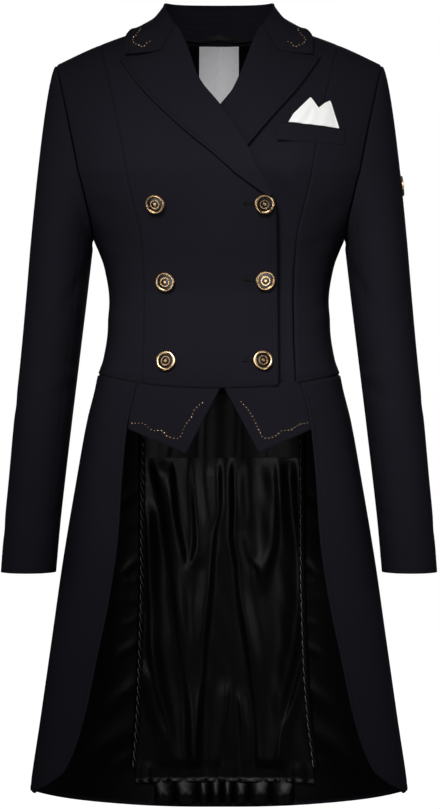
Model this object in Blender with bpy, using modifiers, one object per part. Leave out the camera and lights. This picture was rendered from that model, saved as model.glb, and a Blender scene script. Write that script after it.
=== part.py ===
"""A double-breasted dressage tailcoat, worn by nobody, as the pieces that a maker cuts and sews.

Sizes are in millimetres and each mesh is turned to metres as it is made. X runs to the wearer's
left, Y to the back and Z up. The origin is in the middle of the base of the neck.
"""

import math

import bpy
import numpy as np
from mathutils import Matrix, Vector

# Cloth
CLOTH = 1.8
LINING = 1.0
SEAM = 0.3
LAYER = 0.9
# how far the left front sinks under the right one, and over how wide a slope it comes back
UNDER_DIP = 6.6
UNDER_SLOPE = {"waist": 28.0, "more": 42.0, "from": -190.0, "over": 50.0}

# Heights of the body of the coat
CHEST = -170.0
ARMPIT = -248.0
WAIST = -407.0
HEM_SIDE = -907.0
FRONT_DROP = 17.0
BACK_DROP = 15.0
TAIL_DROP = 44.0

# Every level section is a rounded oval with this fullness: 2 is an ellipse, more is squarer.
FULLNESS = 2.3
SHOULDER_WIDTH = 212.0
SHOULDER_POINT = 195.0
NECK_HALF = 75.0
CHEST_ARM = 166.0

# How the chest and the back lean in from the chest line to the shoulder seam: power, root.
CHEST_LEAN = (1.3, 0.55)
BACK_LEAN = (2.2, 0.5)
# the steps over which the lie of the cloth is read: degrees, and a share of the chest
TURN_STEP = 0.3
ROW_STEP = 0.004
BUST = {"out": 9.0, "x": 72.0, "z": -165.0, "wide": 44.0, "high": 52.0}

# height, half width, depth in front, depth behind
SECTIONS = np.array([
    (-960, 230, 76, 183),
    (-907, 225, 78, 178),
    (-822, 213, 81, 168),
    (-726, 200, 84, 154),
    (-630, 187, 88, 140),
    (-534, 171, 92, 125),
    (-462, 158, 96, 111),
    (-426, 149, 98, 104),
    (-407, 145, 98, 101),
    (-390, 139, 96, 97),
    (-355, 133.5, 92, 90),
    (-316, 132, 91, 86),
    (-282, 137, 98, 90),
    (-248, 150, 109, 98),
    (-200, 176, 120, 104),
    (-170, 188, 123, 106),
], float)

# distance from the middle, height of the shoulder seam there
SHOULDER = np.array([(0, 38), (40, 24), (75, 9), (108, 0), (150, -15.5), (195, -36.5), (215, -46)], float)

# height, distance from the middle of the front seam and of the back seam over the bust and blade
PRINCESS = np.array([
    (-440, 92, 80),
    (-410, 91, 78),
    (-316, 89, 70),
    (-250, 92, 80),
    (-215, 99, 92),
    (-182, 107, 99),
    (-135, 115, 108),
    (-72, 128, 120),
    (-17, 141, 130),
    (20, 150, 136),
], float)

# height, distance of the opening edge past the middle: the front edge, then the roll line
OPENING = np.array([
    (-440, -66),
    (-300, -63.5),
    (-215, -62),
    (-198, -60),
    (-168, -46),
    (-138, -32),
    (-95, -3),
    (-64, 22),
    (-40, 33),
    (-15, 47),
    (2, 66),
    (9, 75),
], float)

# height, distance from the middle of the edge of the skirt, which sweeps back to the hem
SKIRT_EDGE = np.array([
    (-960, 226),
    (-906, 220),
    (-893, 200),
    (-875, 181),
    (-818, 160),
    (-743, 144),
    (-670, 129),
    (-600, 119),
    (-532, 114),
    (-474, 107),
    (-422, 96),
    (-400, 93),
], float)

# height, centre across, centre front to back, half width, half depth
SLEEVE = np.array([
    (-643, 227.5, -16, 33, 46),
    (-582, 222.6, -13, 33.4, 48),
    (-534, 217.8, -10, 33.8, 50),
    (-462, 210.6, -5, 34.8, 53),
    (-390, 202.6, -1, 35.4, 56),
    (-318, 195, 0, 36.5, 60),
    (-258, 189, 0, 37.5, 63),
], float)
SLEEVE_TOP = -258.0
CUFF = -643.0
SLEEVE_OUT = Vector((0.91, 0, -0.41)).normalized()
SLEEVE_DOWN = Vector((0.09, 0, -1)).normalized()
SLEEVE_REACH = 34.0
SLEEVE_SEAM = 132.0

# place on the half collar from the middle of the back, then x, y, z of the fold, of the middle
# of the fall and of its outer edge
COLLAR = np.array([
    (0.00, 0, 58, 43, 0, 69, 20, 0, 73, -7),
    (0.18, 29, 53, 42.5, 37, 62, 20, 42, 66, -5),
    (0.36, 52, 35, 41, 65, 44, 21, 76, 47, -3),
    (0.54, 64, 9, 39.5, 77, 14, 22, 98, 18, 4.5),
    (0.70, 64, -10, 33, 78, -9, 19, 103, -8, 4.5),
    (0.86, 58.5, -28, 20, 82, -34, 4, 111, -34, -8),
    (1.00, 52, -43, 7, 70, -61, -26, 111, -53, -29),
], float)
COLLAR_SHOULDER = 0.54
COLLAR_FRONT = -9.0
NECK_BACK_ROW = 0.817

# place up the lapel from its foot, then distance from the middle and height of the roll line
# and of the outer edge
LAPEL = np.array([
    (0.00, -58.5, -197, -56.5, -200),
    (0.20, -46, -168, -22, -169),
    (0.36, -32, -138, 4, -148),
    (0.52, -3, -95, 32, -125),
    (0.68, 22, -64, 59, -101),
    (0.84, 37, -27, 88, -70),
    (1.00, 49, -5, 114, -39),
], float)
GORGE = {"share": 0.36, "x": -4.0, "z": -15.0, "from": 0.8}

# x and height of the corners of the points below the waist, and the share of the width from
# the middle at which the tip is
VEST_TIP = 0.4
VEST = {"outer": (105, -473), "tip": (39.5, -501), "inner": (3, -425), "top": (96, -422)}

WELT = {"x": (67.5, 148), "top": (-114, -121), "bottom": (-136, -141)}
# share of the pocket's width, height of the folded linen above the welt
SQUARE = np.array([(0.0, 1), (0.14, 14), (0.45, 33), (0.6, 19), (0.83, 27), (1.0, 1)], float)
SQUARE_X = (80.0, 140.0)

# across and up, row by row
BUTTON_PLACES = (
    (-75.0, -212.0),
    (52.5, -212.0),
    (-63.8, -300.5),
    (53.6, -300.5),
    (-63.7, -391.4),
    (50.9, -391.4),
)
BUTTON_RADIUS = 11.6
BADGE = {"z": -181.0, "radius": 12.5, "thick": 1.6}

# The lining of the tail: heights on the inside of the back
YOKE_TOP = -414.0
YOKE_FOOT = -508.0
PANEL_FOOT = -915.0
PLEAT_FOOT = -944.0
CORD_X = 98.5
CORD = {"top": -476.0, "foot": -896.0, "radius": 2.5, "pitch": 32.4, "strands": 3}
# how far the loose panel stops short of the cords and the pleated strip of its own edges, as
# shares of the width between the cords
PANEL_SHY = 0.018
STRIP_SHY = 0.1
PLEATS = 8
PLEAT_DEPTH = 5.0
FOLD_WIDTH = 0.045
# share across the panel at its top and at its foot of each fold, and its depth
FOLDS = np.array([
    (0.06, 0.03, 8),
    (0.19, 0.20, 7),
    (0.33, 0.36, 9),
    (0.44, 0.45, 5),
    (0.55, 0.56, 8),
    (0.72, 0.66, 7),
    (0.84, 0.80, 8),
    (0.95, 0.97, 7),
], float)

LABEL = {"half": 25.0, "top": -7.0, "foot": -96.0}
TAPE = {"half": 19.5, "low": 0.04, "high": 0.16, "thick": 1.2}
NECK_LINING = {"half": 62.0, "top": -4.0, "foot": -118.0}

# rows of a panel of the bodice: 0 hem, 1 armpit, 2 chest line, 3 shoulder seam
LOW_ROWS = [0, 0.18, 0.36, 0.54, 0.7, 0.85]
ARM_ROWS = [1, 1.25, 1.5, 1.75]
HIGH_ROWS = [2, 2.16, 2.32, 2.48, 2.64, 2.8, 2.91, 3]
ROWS = LOW_ROWS + ARM_ROWS + HIGH_ROWS

SOFTSHELL = ("softshell", (0.006, 0.006, 0.008), 0.75, 0.0)
SATIN = ("satin", (0.004, 0.004, 0.005), 0.35, 0.0)
CORDING = ("cording", (0.005, 0.005, 0.006), 0.5, 0.0)
GOLD = ("gilt", (0.75, 0.47, 0.16), 0.28, 1.0)
LINEN = ("linen", (0.9, 0.9, 0.9), 0.8, 0.0)
GREY = ("label satin", (0.42, 0.42, 0.44), 0.4, 0.0)


def smooth(rows, at, column=1):
    """Reads a column of a table at a value of its first one, on a curve that never overshoots."""
    xs, ys = rows[:, 0], rows[:, column]
    steps = np.diff(xs)
    rises = np.diff(ys) / steps
    slopes = np.concatenate([rises[:1], np.zeros(len(xs) - 2), rises[-1:]])
    for i in range(1, len(xs) - 1):
        if rises[i - 1] * rises[i] > 0:
            slopes[i] = 2 * rises[i - 1] * rises[i] / (rises[i - 1] + rises[i])
    at = min(max(at, xs[0]), xs[-1])
    i = min(int(np.searchsorted(xs, at, side="right")) - 1, len(steps) - 1)
    f = (at - xs[i]) / steps[i]
    start = ys[i] * (1 + 2 * f) * (1 - f) ** 2 + slopes[i] * steps[i] * f * (1 - f) ** 2
    return start + ys[i + 1] * f * f * (3 - 2 * f) + slopes[i + 1] * steps[i] * f * f * (f - 1)


def ease(f):
    f = min(max(f, 0.0), 1.0)
    return f * f * (3 - 2 * f)


def section(z, row):
    """The half width and both depths of the coat, below the chest line or up to the shoulder."""
    width, front, behind = (smooth(SECTIONS, z, column) for column in (1, 2, 3))
    return width + (SHOULDER_WIDTH - width) * max(row, 0), front, behind


def coat(angle, row, behind=False):
    """A point of the coat's outside.

    The angle is 0 in the middle and 90 at the side. A row of 0 or less is so many millimetres
    below the chest line, and from 0 to 1 it climbs to the shoulder seam.
    """
    turn = math.radians(angle)
    width, front, back = section(CHEST + min(row, 0), row)
    x = math.copysign(width * abs(math.sin(turn)) ** (2 / FULLNESS), turn)
    power, root = BACK_LEAN if behind else CHEST_LEAN
    lean = (1 - min(max(row, 0), 1) ** power) ** root
    y = (back if behind else front) * abs(math.cos(turn)) ** (2 / FULLNESS) * lean
    if row <= 0:
        z = CHEST + row
    else:
        z = CHEST + (smooth(SHOULDER, abs(x)) - CHEST) * row
    if not behind:
        across = (abs(x) - BUST["x"]) / BUST["wide"]
        up = (z - BUST["z"]) / BUST["high"]
        y += BUST["out"] * math.exp(-(across**2) - up**2) * abs(math.cos(turn)) * lean
    return Vector((x, y if behind else -y, z))


def coat_normal(angle, row, behind=False):
    """Points out of the cloth, and at the shoulder seam straight up from its slope."""
    if row > 0.995:
        x = abs(coat(angle, row, behind).x)
        slope = (smooth(SHOULDER, x + 2) - smooth(SHOULDER, x - 2)) / 4
        return Vector((-slope * math.copysign(1, angle), 0, 1)).normalized()
    above = row + 1 if row < -1 else max(row, 0) + ROW_STEP
    below = row - ROW_STEP if row > ROW_STEP else min(row, 0) - 1
    across = coat(angle + TURN_STEP, row, behind) - coat(angle - TURN_STEP, row, behind)
    if abs(angle) > 90 - TURN_STEP:
        across = Vector((0, -math.copysign(1, angle) * (1 if behind else -1), 0))
    rise = coat(angle, min(above, 0.999), behind) - coat(angle, below, behind)
    normal = across.cross(rise).normalized()
    point = coat(angle, row, behind)
    outward = Vector((point.x, point.y * 1.5, max(row, 0) * 60))
    return normal if normal.dot(outward) > 0 else -normal


def place(angle, row, behind=False, out=0.0):
    return coat(angle, row, behind) + coat_normal(angle, row, behind) * out


def angle_at(x, row):
    """The angle at which a level is so far from the middle."""
    width = section(CHEST + min(row, 0), row)[0]
    return math.copysign(math.degrees(math.asin(min(abs(x) / width, 1) ** (FULLNESS / 2))), x)


def row_at(x, z):
    """The row that passes through a distance from the middle and a height."""
    return z - CHEST if z <= CHEST else (z - CHEST) / (smooth(SHOULDER, abs(x)) - CHEST)


def on_front(x, z, out):
    row = row_at(x, z)
    return place(angle_at(x, row), row, False, out)


def on_back(x, z, out):
    row = row_at(x, z)
    return place(angle_at(x, row), row, True, out)


def hem_height(angle, behind):
    drop = BACK_DROP if behind else FRONT_DROP
    return WAIST - drop * math.cos(math.radians(angle)) ** 2


def bodice_row(level, angle, behind):
    """The row of a level of the bodice: 0 hem, 1 armpit, 2 chest line, 3 shoulder seam."""
    if level <= 1:
        hem = hem_height(angle, behind)
        return hem + (ARMPIT - hem) * level - CHEST
    if level <= 2:
        return (ARMPIT - CHEST) * math.cos(math.radians(90 * (level - 1)))
    return math.sin(math.radians(90 * (level - 2)))


def armhole(level):
    """The angle of the side seam, then of the armhole, at a level of the bodice."""
    if level <= 1:
        return 90.0
    chest = angle_at(CHEST_ARM, 0)
    if level <= 2:
        return 90 - (90 - chest) * math.sin(math.radians(90 * (level - 1)))
    row = bodice_row(level, 0, False)
    return angle_at(CHEST_ARM + (SHOULDER_POINT - CHEST_ARM) * row, row)


def crossing(rows, column, level, behind=False):
    """The angle at which a level of the bodice crosses a seam that a table gives."""
    low, high = -60.0, 89.0
    for _ in range(30):
        middle = (low + high) / 2
        point = coat(middle, bodice_row(level, middle, behind), behind)
        if point.x < smooth(rows, point.z, column):
            low = middle
        else:
            high = middle
    return (low + high) / 2


def material(kind):
    name, colour, roughness, metallic = kind
    found = bpy.data.materials.get(name)
    if found:
        return found
    made = bpy.data.materials.new(name)
    made.use_nodes = True
    shader = made.node_tree.nodes["Principled BSDF"]
    shader.inputs["Base Color"].default_value = (*colour, 1)
    shader.inputs["Roughness"].default_value = roughness
    shader.inputs["Metallic"].default_value = metallic
    made.diffuse_color = (*colour, 1)
    return made


def add(name, mesh, kind):
    mesh.materials.append(material(kind))
    made = bpy.data.objects.new(name, mesh)
    bpy.data.collections["dressage tailcoat"].objects.link(made)
    return made


def shell(name, outer, inner, kind, side=1):
    """A closed wall between two grids of points, which side -1 mirrors to the wearer's right."""
    outer, inner = (np.array([[tuple(p) for p in row] for row in grid]) for grid in (outer, inner))
    rows, columns = outer.shape[:2]
    points = np.concatenate([outer.reshape(-1, 3), inner.reshape(-1, 3)])
    points[:, 0] *= side
    number = np.arange(2 * rows * columns).reshape(2, rows, columns)
    out, back = number
    faces = []
    for r in range(rows - 1):
        for c in range(columns - 1):
            faces.append((out[r, c], out[r, c + 1], out[r + 1, c + 1], out[r + 1, c]))
            faces.append((back[r, c], back[r + 1, c], back[r + 1, c + 1], back[r, c + 1]))
    rim = [(0, c) for c in range(columns - 1)] + [(r, columns - 1) for r in range(rows - 1)]
    rim += [(rows - 1, c) for c in range(columns - 1, 0, -1)] + [(r, 0) for r in range(rows - 1, 0, -1)]
    for here, there in zip(rim, rim[1:] + rim[:1]):
        faces.append((out[here], back[here], back[there], out[there]))
    triangles = [(f[0], f[i], f[i + 1]) for f in faces for i in (1, 2)]
    if np.linalg.det(points[np.array(triangles)]).sum() < 0:
        faces = [f[::-1] for f in faces]
    mesh = bpy.data.meshes.new(name)
    mesh.from_pydata((points / 1000).tolist(), [], [tuple(int(i) for i in f) for f in faces])
    mesh.shade_smooth()
    mesh.set_sharp_from_angle(angle=math.radians(50))
    return add(name, mesh, kind)


def inset(start, end, row, behind):
    """Moves both edges of a panel in by half the gap of a seam."""
    edges = []
    for angle, toward in ((start, 1), (end, -1)):
        reach = (coat(angle + 0.2, row, behind) - coat(angle - 0.2, row, behind)).length / 0.4
        edges.append(angle + toward * SEAM / 2 / max(reach, 0.4))
    return edges


def bodice_panel(name, side, start, end, shares, behind=False, dip=None, top=None):
    """A panel of the bodice from its hem to the shoulder, between two seams.

    start and end give the angle of a level, shares are the columns, dip sinks a panel where
    another lies over it, and top lowers a column's end from the shoulder seam to the neck.
    """
    outer, inner = [], []
    for level in ROWS:
        edges = inset(start(level), end(level), bodice_row(level, start(level), behind), behind)
        outer.append([])
        inner.append([])
        for share in shares:
            angle = edges[0] + (edges[1] - edges[0]) * share
            row = bodice_row(level, angle, behind)
            if row > 0 and top:
                row *= top(share)
            point, normal = coat(angle, row, behind), coat_normal(angle, row, behind)
            sunk = dip(point.x, point.z) if dip else 0.0
            point = point - normal * sunk
            if level == ROWS[-1]:
                point.y += SEAM / 2 if behind else -SEAM / 2
            outer[-1].append(point)
            inner[-1].append(point - normal * CLOTH)
    return shell(name, outer, inner, SOFTSHELL, side)


def even(count):
    return [i / count for i in range(count + 1)]


def under_dip(x, z, extra=1.4):
    """How far the left front sinks where the right front lies over it."""
    edge = -smooth(OPENING, z)
    climb = ease((z - UNDER_SLOPE["from"]) / UNDER_SLOPE["over"])
    slope = UNDER_SLOPE["waist"] + UNDER_SLOPE["more"] * climb
    return (UNDER_DIP + extra) * (1 - ease((x - edge - 5) / slope))


def fronts():
    def opening(level):
        return crossing(OPENING, 1, level)

    def seam(level):
        return crossing(PRINCESS, 1, level)

    bodice_panel("front_right", -1, opening, seam, even(8))
    bodice_panel("front_left", 1, opening, seam, even(12), dip=under_dip)
    for side, word in ((-1, "right"), (1, "left")):
        bodice_panel(f"side_front_{word}", side, seam, armhole, even(4))


def backs():
    def middle(level):
        return 0.0

    def seam(level):
        return crossing(PRINCESS, 2, level, True)

    neck = angle_at(NECK_HALF, 1) / angle_at(smooth(PRINCESS, -12, 2), 1)
    shares = [neck * i / 4 for i in range(5)] + [neck + (1 - neck) * i / 2 for i in (1, 2)]

    def top(share):
        return neck_row(NECK_HALF * share / neck)

    for side, word in ((-1, "right"), (1, "left")):
        bodice_panel(f"back_{word}", side, middle, seam, shares, True, top=top)
        bodice_panel(f"side_back_{word}", side, seam, armhole, even(4), True)


def armhole_point(around):
    """A point of the armhole, from 0 at the shoulder through 180 under the arm, front first."""
    behind = around > 180
    level = 3 - 2 * (around if not behind else 360 - around) / 180
    return coat(armhole(level), bodice_row(level, 90, behind), behind)


def arm_ring(around, z):
    turn = math.radians(around)
    across, along, half, deep = (smooth(SLEEVE, z, column) for column in (1, 2, 3, 4))
    return Vector((across + half * math.cos(turn), along - deep * math.sin(turn), z))


def sleeve_point(around, down):
    """A point of the sleeve: down runs from 0 at the armhole to 1 at the top ring and 2 at the cuff."""
    if down >= 1:
        return arm_ring(around, SLEEVE_TOP + (CUFF - SLEEVE_TOP) * (down - 1))
    start, end = armhole_point(around), arm_ring(around, SLEEVE_TOP)
    run = armhole_point((around + 1) % 360) - armhole_point((around - 1) % 360)
    run.normalize()
    leave = (SLEEVE_OUT - run * SLEEVE_OUT.dot(run)).normalized()
    start = start + leave * SEAM * 1.4
    chord = (end - start).length
    f = down
    point = start * (1 + 2 * f) * (1 - f) ** 2 + end * f * f * (3 - 2 * f)
    point += leave * min(SLEEVE_REACH, chord) * f * (1 - f) ** 2
    return point + SLEEVE_DOWN * chord * f * f * (f - 1)


def sleeve_wall(around, down, out):
    """A point moved out of the sleeve, and away from the middle of the arm."""
    step = 0.01
    run = sleeve_point((around + 1) % 360, down) - sleeve_point((around - 1) % 360, down)
    fall = sleeve_point(around, min(down + step, 2)) - sleeve_point(around, max(down - step, 0))
    normal = run.cross(fall).normalized()
    if normal.dot(Vector((math.cos(math.radians(around)), -math.sin(math.radians(around)), 0.3))) < 0:
        normal.negate()
    return sleeve_point(around, down) + normal * out


def sleeves():
    downs = [0, 0.08, 0.2, 0.36, 0.56, 0.78, 1, 1.15, 1.32, 1.5, 1.66, 1.83, 2]
    gap = 0.16
    spans = {
        "top": [gap - SLEEVE_SEAM + (2 * SLEEVE_SEAM - 2 * gap) * i / 14 for i in range(15)],
        "under": [SLEEVE_SEAM + gap + (360 - 2 * SLEEVE_SEAM - 2 * gap) * i / 6 for i in range(7)],
    }
    for side, word in ((-1, "right"), (1, "left")):
        for part, arounds in spans.items():
            grids = [
                [[sleeve_wall(a % 360, down, out) for a in arounds] for down in downs]
                for out in (0, -CLOTH)
            ]
            shell(f"sleeve_{part}_{word}", *grids, SOFTSHELL, side)


def neck_row(x):
    """The row at which the back ends at the neck."""
    return NECK_BACK_ROW + (1 - NECK_BACK_ROW) * min(x / NECK_HALF, 1) ** 2


def neck_seam(along):
    """The foot of the collar's stand, just clear of the panels that it is sewn to."""
    if along <= COLLAR_SHOULDER:
        x = NECK_HALF * along / COLLAR_SHOULDER
        row = neck_row(x)
        point = coat(angle_at(x, row), row, True)
    else:
        f = (along - COLLAR_SHOULDER) / (1 - COLLAR_SHOULDER)
        z = OPENING[-1, 0] + (COLLAR_FRONT - OPENING[-1, 0]) * f
        point = on_front(smooth(OPENING, z), z, 0)
    return point + Vector((-0.5 * min(along * 4, 1), -0.3, 0.7))


def collar_point(along, share):
    """A point of the collar: share 0 is its foot, 1 its fold, 2 mid fall and 3 its outer edge."""
    line = [neck_seam(abs(along))]
    for k in range(3):
        line.append(Vector([smooth(COLLAR, abs(along), 1 + 3 * k + axis) for axis in range(3)]))
    k = min(int(share), 2)
    point = line[k].lerp(line[k + 1], share - k)
    point.x = math.copysign(point.x, along)
    return point


def collar():
    """Stand, fold and fall in one piece, from one gorge round the neck to the other."""
    across = [0, 0.5, 1, 1.1, 1.5, 2, 2.34, 2.67, 3]
    places = [i / 11 for i in range(-11, 12)]
    outer = [[collar_point(s, share) for share in across] for s in places]
    grid = np.array([[tuple(p) for p in row] for row in outer])
    along = np.gradient(grid, axis=0)
    over = np.gradient(grid, axis=1)
    normal = np.cross(over, along)
    normal /= np.linalg.norm(normal, axis=2, keepdims=True)
    shell("collar", grid, grid + normal * CLOTH, SOFTSHELL)


def lapel_grid(out, dip=None):
    grid = []
    for up in [0, 0.08, 0.16, 0.24, 0.34, 0.44, 0.54, 0.64, 0.74, 0.82, 0.9, 1]:
        roll = np.array([smooth(LAPEL, up, 1), smooth(LAPEL, up, 2)])
        edge = np.array([smooth(LAPEL, up, 3), smooth(LAPEL, up, 4)])
        middle = roll + (edge - roll) * GORGE["share"]
        middle += np.array([GORGE["x"], GORGE["z"]]) * ease((up - GORGE["from"]) / (1 - GORGE["from"]))
        line = [roll + (middle - roll) * f for f in (0, 0.33, 0.67)]
        line += [middle + (edge - middle) * f for f in (0, 0.25, 0.5, 0.75, 1)]
        grid.append([on_front(x, z, out - (dip(x, z, 0) if dip else 0)) for x, z in line])
    return grid


def lapels():
    shell("lapel_right", lapel_grid(LAYER + CLOTH), lapel_grid(LAYER), SOFTSHELL, -1)
    grids = [lapel_grid(LAYER + CLOTH, under_dip), lapel_grid(LAYER, under_dip)]
    shell("lapel_left", *grids, SOFTSHELL)


def tail_drop(angle):
    """How much lower than at the side the hem of the tail hangs."""
    return TAIL_DROP * math.cos(math.radians(angle)) ** 1.15


def skirt_grid(start, end, columns, rows, behind, top, out):
    """Part of the skirt between two angles that are read at a height."""
    grid = []
    for f in even(rows):
        grid.append([])
        for share in even(columns):
            z = WAIST + (HEM_SIDE - WAIST) * f
            for _ in range(3):
                angle = start(z) + (end(z) - start(z)) * share
                foot = HEM_SIDE - (tail_drop(angle) if behind else 0)
                head = hem_height(angle, behind) + top
                z = head + (foot - head) * f
            grid[-1].append(place(angle, z - CHEST, behind, out))
    return grid


def skirt_edge(z, margin=0.0):
    return angle_at(smooth(SKIRT_EDGE, z) + margin, z - CHEST)


def side_angle(z):
    return 90.0 - math.degrees(SEAM / 2 / 60)


def middle_angle(z):
    return math.degrees(SEAM / 2 / 150)


def skirts():
    for side, word in ((-1, "right"), (1, "left")):
        grids = [skirt_grid(skirt_edge, side_angle, 5, 14, False, -SEAM, out) for out in (0, -CLOTH)]
        shell(f"skirt_front_{word}", *grids, SOFTSHELL, side)
        grids = [skirt_grid(middle_angle, side_angle, 8, 10, True, -SEAM - 0.1, out) for out in (0, -CLOTH)]
        shell(f"skirt_back_{word}", *grids, SOFTSHELL, side)


def vest_points():
    """The points of a waistcoat, sewn in under the hem of the bodice."""
    under = -CLOTH - 0.5
    outer, tip, inner, top = (VEST[key] for key in ("outer", "tip", "inner", "top"))
    for side, word in ((-1, "right"), (1, "left")):
        grids = []
        for out in (under, under - 1.5):
            grid = []
            for f in even(4):
                grid.append([])
                for share in even(8):
                    x_top = inner[0] + (top[0] - inner[0]) * share
                    turn = angle_at(x_top, WAIST - CHEST)
                    z_top = hem_height(turn, False) - SEAM - 0.2
                    if share < VEST_TIP:
                        foot = np.array(inner) + (np.array(tip) - inner) * share / VEST_TIP
                    else:
                        beyond = (share - VEST_TIP) / (1 - VEST_TIP)
                        foot = np.array(tip) + (np.array(outer) - tip) * beyond
                    x = x_top + (foot[0] - x_top) * f
                    z = z_top + (min(foot[1], z_top - 2) - z_top) * f
                    grid[-1].append(on_front(x, z, out))
            grids.append(grid)
        shell(f"vest_point_{word}", *grids, SOFTSHELL, side)


def tail_point(share, z, deep):
    """A point on the inside of the tail, share 0 at the wearer's right cord and 1 at the left."""
    x = -CORD_X + 2 * CORD_X * share
    return on_back(x, z, -CLOTH - deep)


def folds(share, f):
    """How far the loose lining of the tail stands in from the back, with its folds."""
    deep = 1.0 + 2.0 * ease(f * 8)
    for top, foot, height in FOLDS:
        centre = top + (foot - top) * f
        fade = 0.45 + 0.55 * math.sin(math.pi * min(f + 0.12, 1))
        deep += height * fade * math.exp(-(((share - centre) / FOLD_WIDTH) ** 2))
    return deep


def tail_lining():
    columns = 40
    grids = [[], []]
    for f in even(10):
        z = YOKE_FOOT - SEAM + (PANEL_FOOT - YOKE_FOOT) * f
        for k, extra in enumerate((0, LINING)):
            row = [
                tail_point(PANEL_SHY + (1 - 2 * PANEL_SHY) * share, z, LAYER + LINING - extra + folds(share, f))
                for share in even(columns)
            ]
            grids[k].append(row)
    shell("tail_lining_centre", grids[0], grids[1], SATIN)

    grids = [
        [[tail_point(share, z, deep) for share in even(10)] for z in (YOKE_TOP - 15, -450, -480, YOKE_FOOT)]
        for deep in (LAYER + LINING + 1, LAYER + 1)
    ]
    shell("tail_lining_yoke", *grids, SATIN)

    grids = [[], []]
    for f in even(2):
        z = PANEL_FOOT - SEAM + (PLEAT_FOOT - PANEL_FOOT) * f
        for k, extra in enumerate((0, LINING)):
            row = []
            for share in even(PLEATS * 5):
                swell = abs(math.sin(math.pi * share * PLEATS)) ** 0.7
                deep = 1.2 + PLEAT_DEPTH * swell + LINING - extra
                row.append(tail_point(STRIP_SHY + (1 - 2 * STRIP_SHY) * share, z, deep))
            grids[k].append(row)
    shell("hem_pleats", grids[0], grids[1], SATIN)

    for side, word in ((-1, "right"), (1, "left")):
        grids = [[], []]
        for f in even(10):
            for k, out in enumerate((-CLOTH - LAYER - 0.5 - LINING, -CLOTH - LAYER - 0.5)):
                row = []
                z = YOKE_TOP - 4 + (HEM_SIDE + 7 - YOKE_TOP) * f
                for share in even(5):
                    edge = skirt_edge(z, 4)
                    row.append(place(edge + (90 - edge) * share, z - CHEST, False, out))
                for share in even(5)[1:]:
                    edge = angle_at(CORD_X + 4, z - CHEST)
                    angle = 90 + (edge - 90) * share
                    drop = (tail_drop(min(angle, 90)) - 4) * f
                    row.append(place(angle, z - drop - CHEST, True, out))
                grids[k].append(row)
        shell(f"tail_lining_side_{word}", *grids, SATIN, side)


def tail_cords():
    """A cord of twisted strands down each edge of the loose lining."""
    steps = 72
    sides = 2 * CORD["strands"]
    for side, word in ((-1, "right"), (1, "left")):
        points = []
        for f in even(steps):
            z = CORD["top"] + (CORD["foot"] - CORD["top"]) * f
            x = CORD_X + 2 + 4 * ease((f - 0.7) / 0.3)
            middle = on_back(x, z, -CLOTH - LAYER - LINING - CORD["radius"] - SEAM)
            twist = 2 * math.pi * (CORD["top"] - z) / CORD["pitch"]
            for k in range(sides):
                turn = twist + 2 * math.pi * k / sides
                radius = CORD["radius"] * (1 if k % 2 == 0 else 0.66)
                points.append(middle + Vector((math.cos(turn), math.sin(turn), 0)) * radius)
        faces = [tuple(range(sides)), tuple(range(len(points) - 1, len(points) - sides - 1, -1))]
        for ring in range(steps):
            for k in range(sides):
                a, b = ring * sides + k, ring * sides + (k + 1) % sides
                faces += [(b, a, a + sides), (b, a + sides, b + sides)]
        coordinates = [(p.x * side / 1000, p.y / 1000, p.z / 1000) for p in points]
        if side < 0:
            faces = [f[::-1] for f in faces]
        mesh = bpy.data.meshes.new(f"tail_cord_{word}")
        mesh.from_pydata(coordinates, [], faces)
        add(f"tail_cord_{word}", mesh, CORDING)


def neck_inside():
    deep = -CLOTH - 1.7
    for name, size, outs, kind in (
        ("back_neck_lining", NECK_LINING, (deep, deep - LINING), SATIN),
        ("label", LABEL, (deep - LINING - 0.7, deep - LINING - 1.5), GREY),
    ):
        grids = []
        for out in outs:
            grid = []
            for f in even(8):
                grid.append([])
                for share in even(8):
                    z = size["top"] + (size["foot"] - size["top"]) * f
                    grid[-1].append(on_back(size["half"] * (2 * share - 1), z, out))
            grids.append(grid)
        shell(name, *grids, kind)


def hanger_tape():
    reach = COLLAR_SHOULDER * TAPE["half"] / NECK_HALF
    grids = []
    for out in (0.5, 0.5 + TAPE["thick"]):
        grid = []
        for share in (TAPE["low"], TAPE["high"]):
            line = [collar_point(reach * (2 * f - 1), share) for f in even(6)]
            grid.append([point - Vector((0, out, 0)) for point in line])
        grids.append(grid)
    shell("hanger_tape", *grids, CORDING)


def pocket():
    grids = []
    for out in (LAYER + CLOTH, LAYER):
        grid = []
        for f in even(2):
            line = []
            for share in even(6):
                x = WELT["x"][0] + (WELT["x"][1] - WELT["x"][0]) * share
                top = WELT["top"][0] + (WELT["top"][1] - WELT["top"][0]) * share
                foot = WELT["bottom"][0] + (WELT["bottom"][1] - WELT["bottom"][0]) * share
                line.append(on_front(x, top + (foot - top) * f, out))
            grid.append(line)
        grids.append(grid)
    shell("pocket_welt", *grids, SOFTSHELL)
    grids = []
    for out in (LAYER + 1.5, LAYER):
        grid = []
        for f in even(2):
            line = []
            for share in (0, 0.14, 0.3, 0.45, 0.6, 0.72, 0.83, 0.92, 1):
                x = SQUARE_X[0] + (SQUARE_X[1] - SQUARE_X[0]) * share
                along = (x - WELT["x"][0]) / (WELT["x"][1] - WELT["x"][0])
                foot = WELT["top"][0] + (WELT["top"][1] - WELT["top"][0]) * along + SEAM
                high = np.interp(share, SQUARE[:, 0], SQUARE[:, 1])
                line.append(on_front(x, foot + high * f, out))
            grid.append(line)
        grids.append(grid)
    shell("pocket_square", *grids, LINEN)


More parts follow.
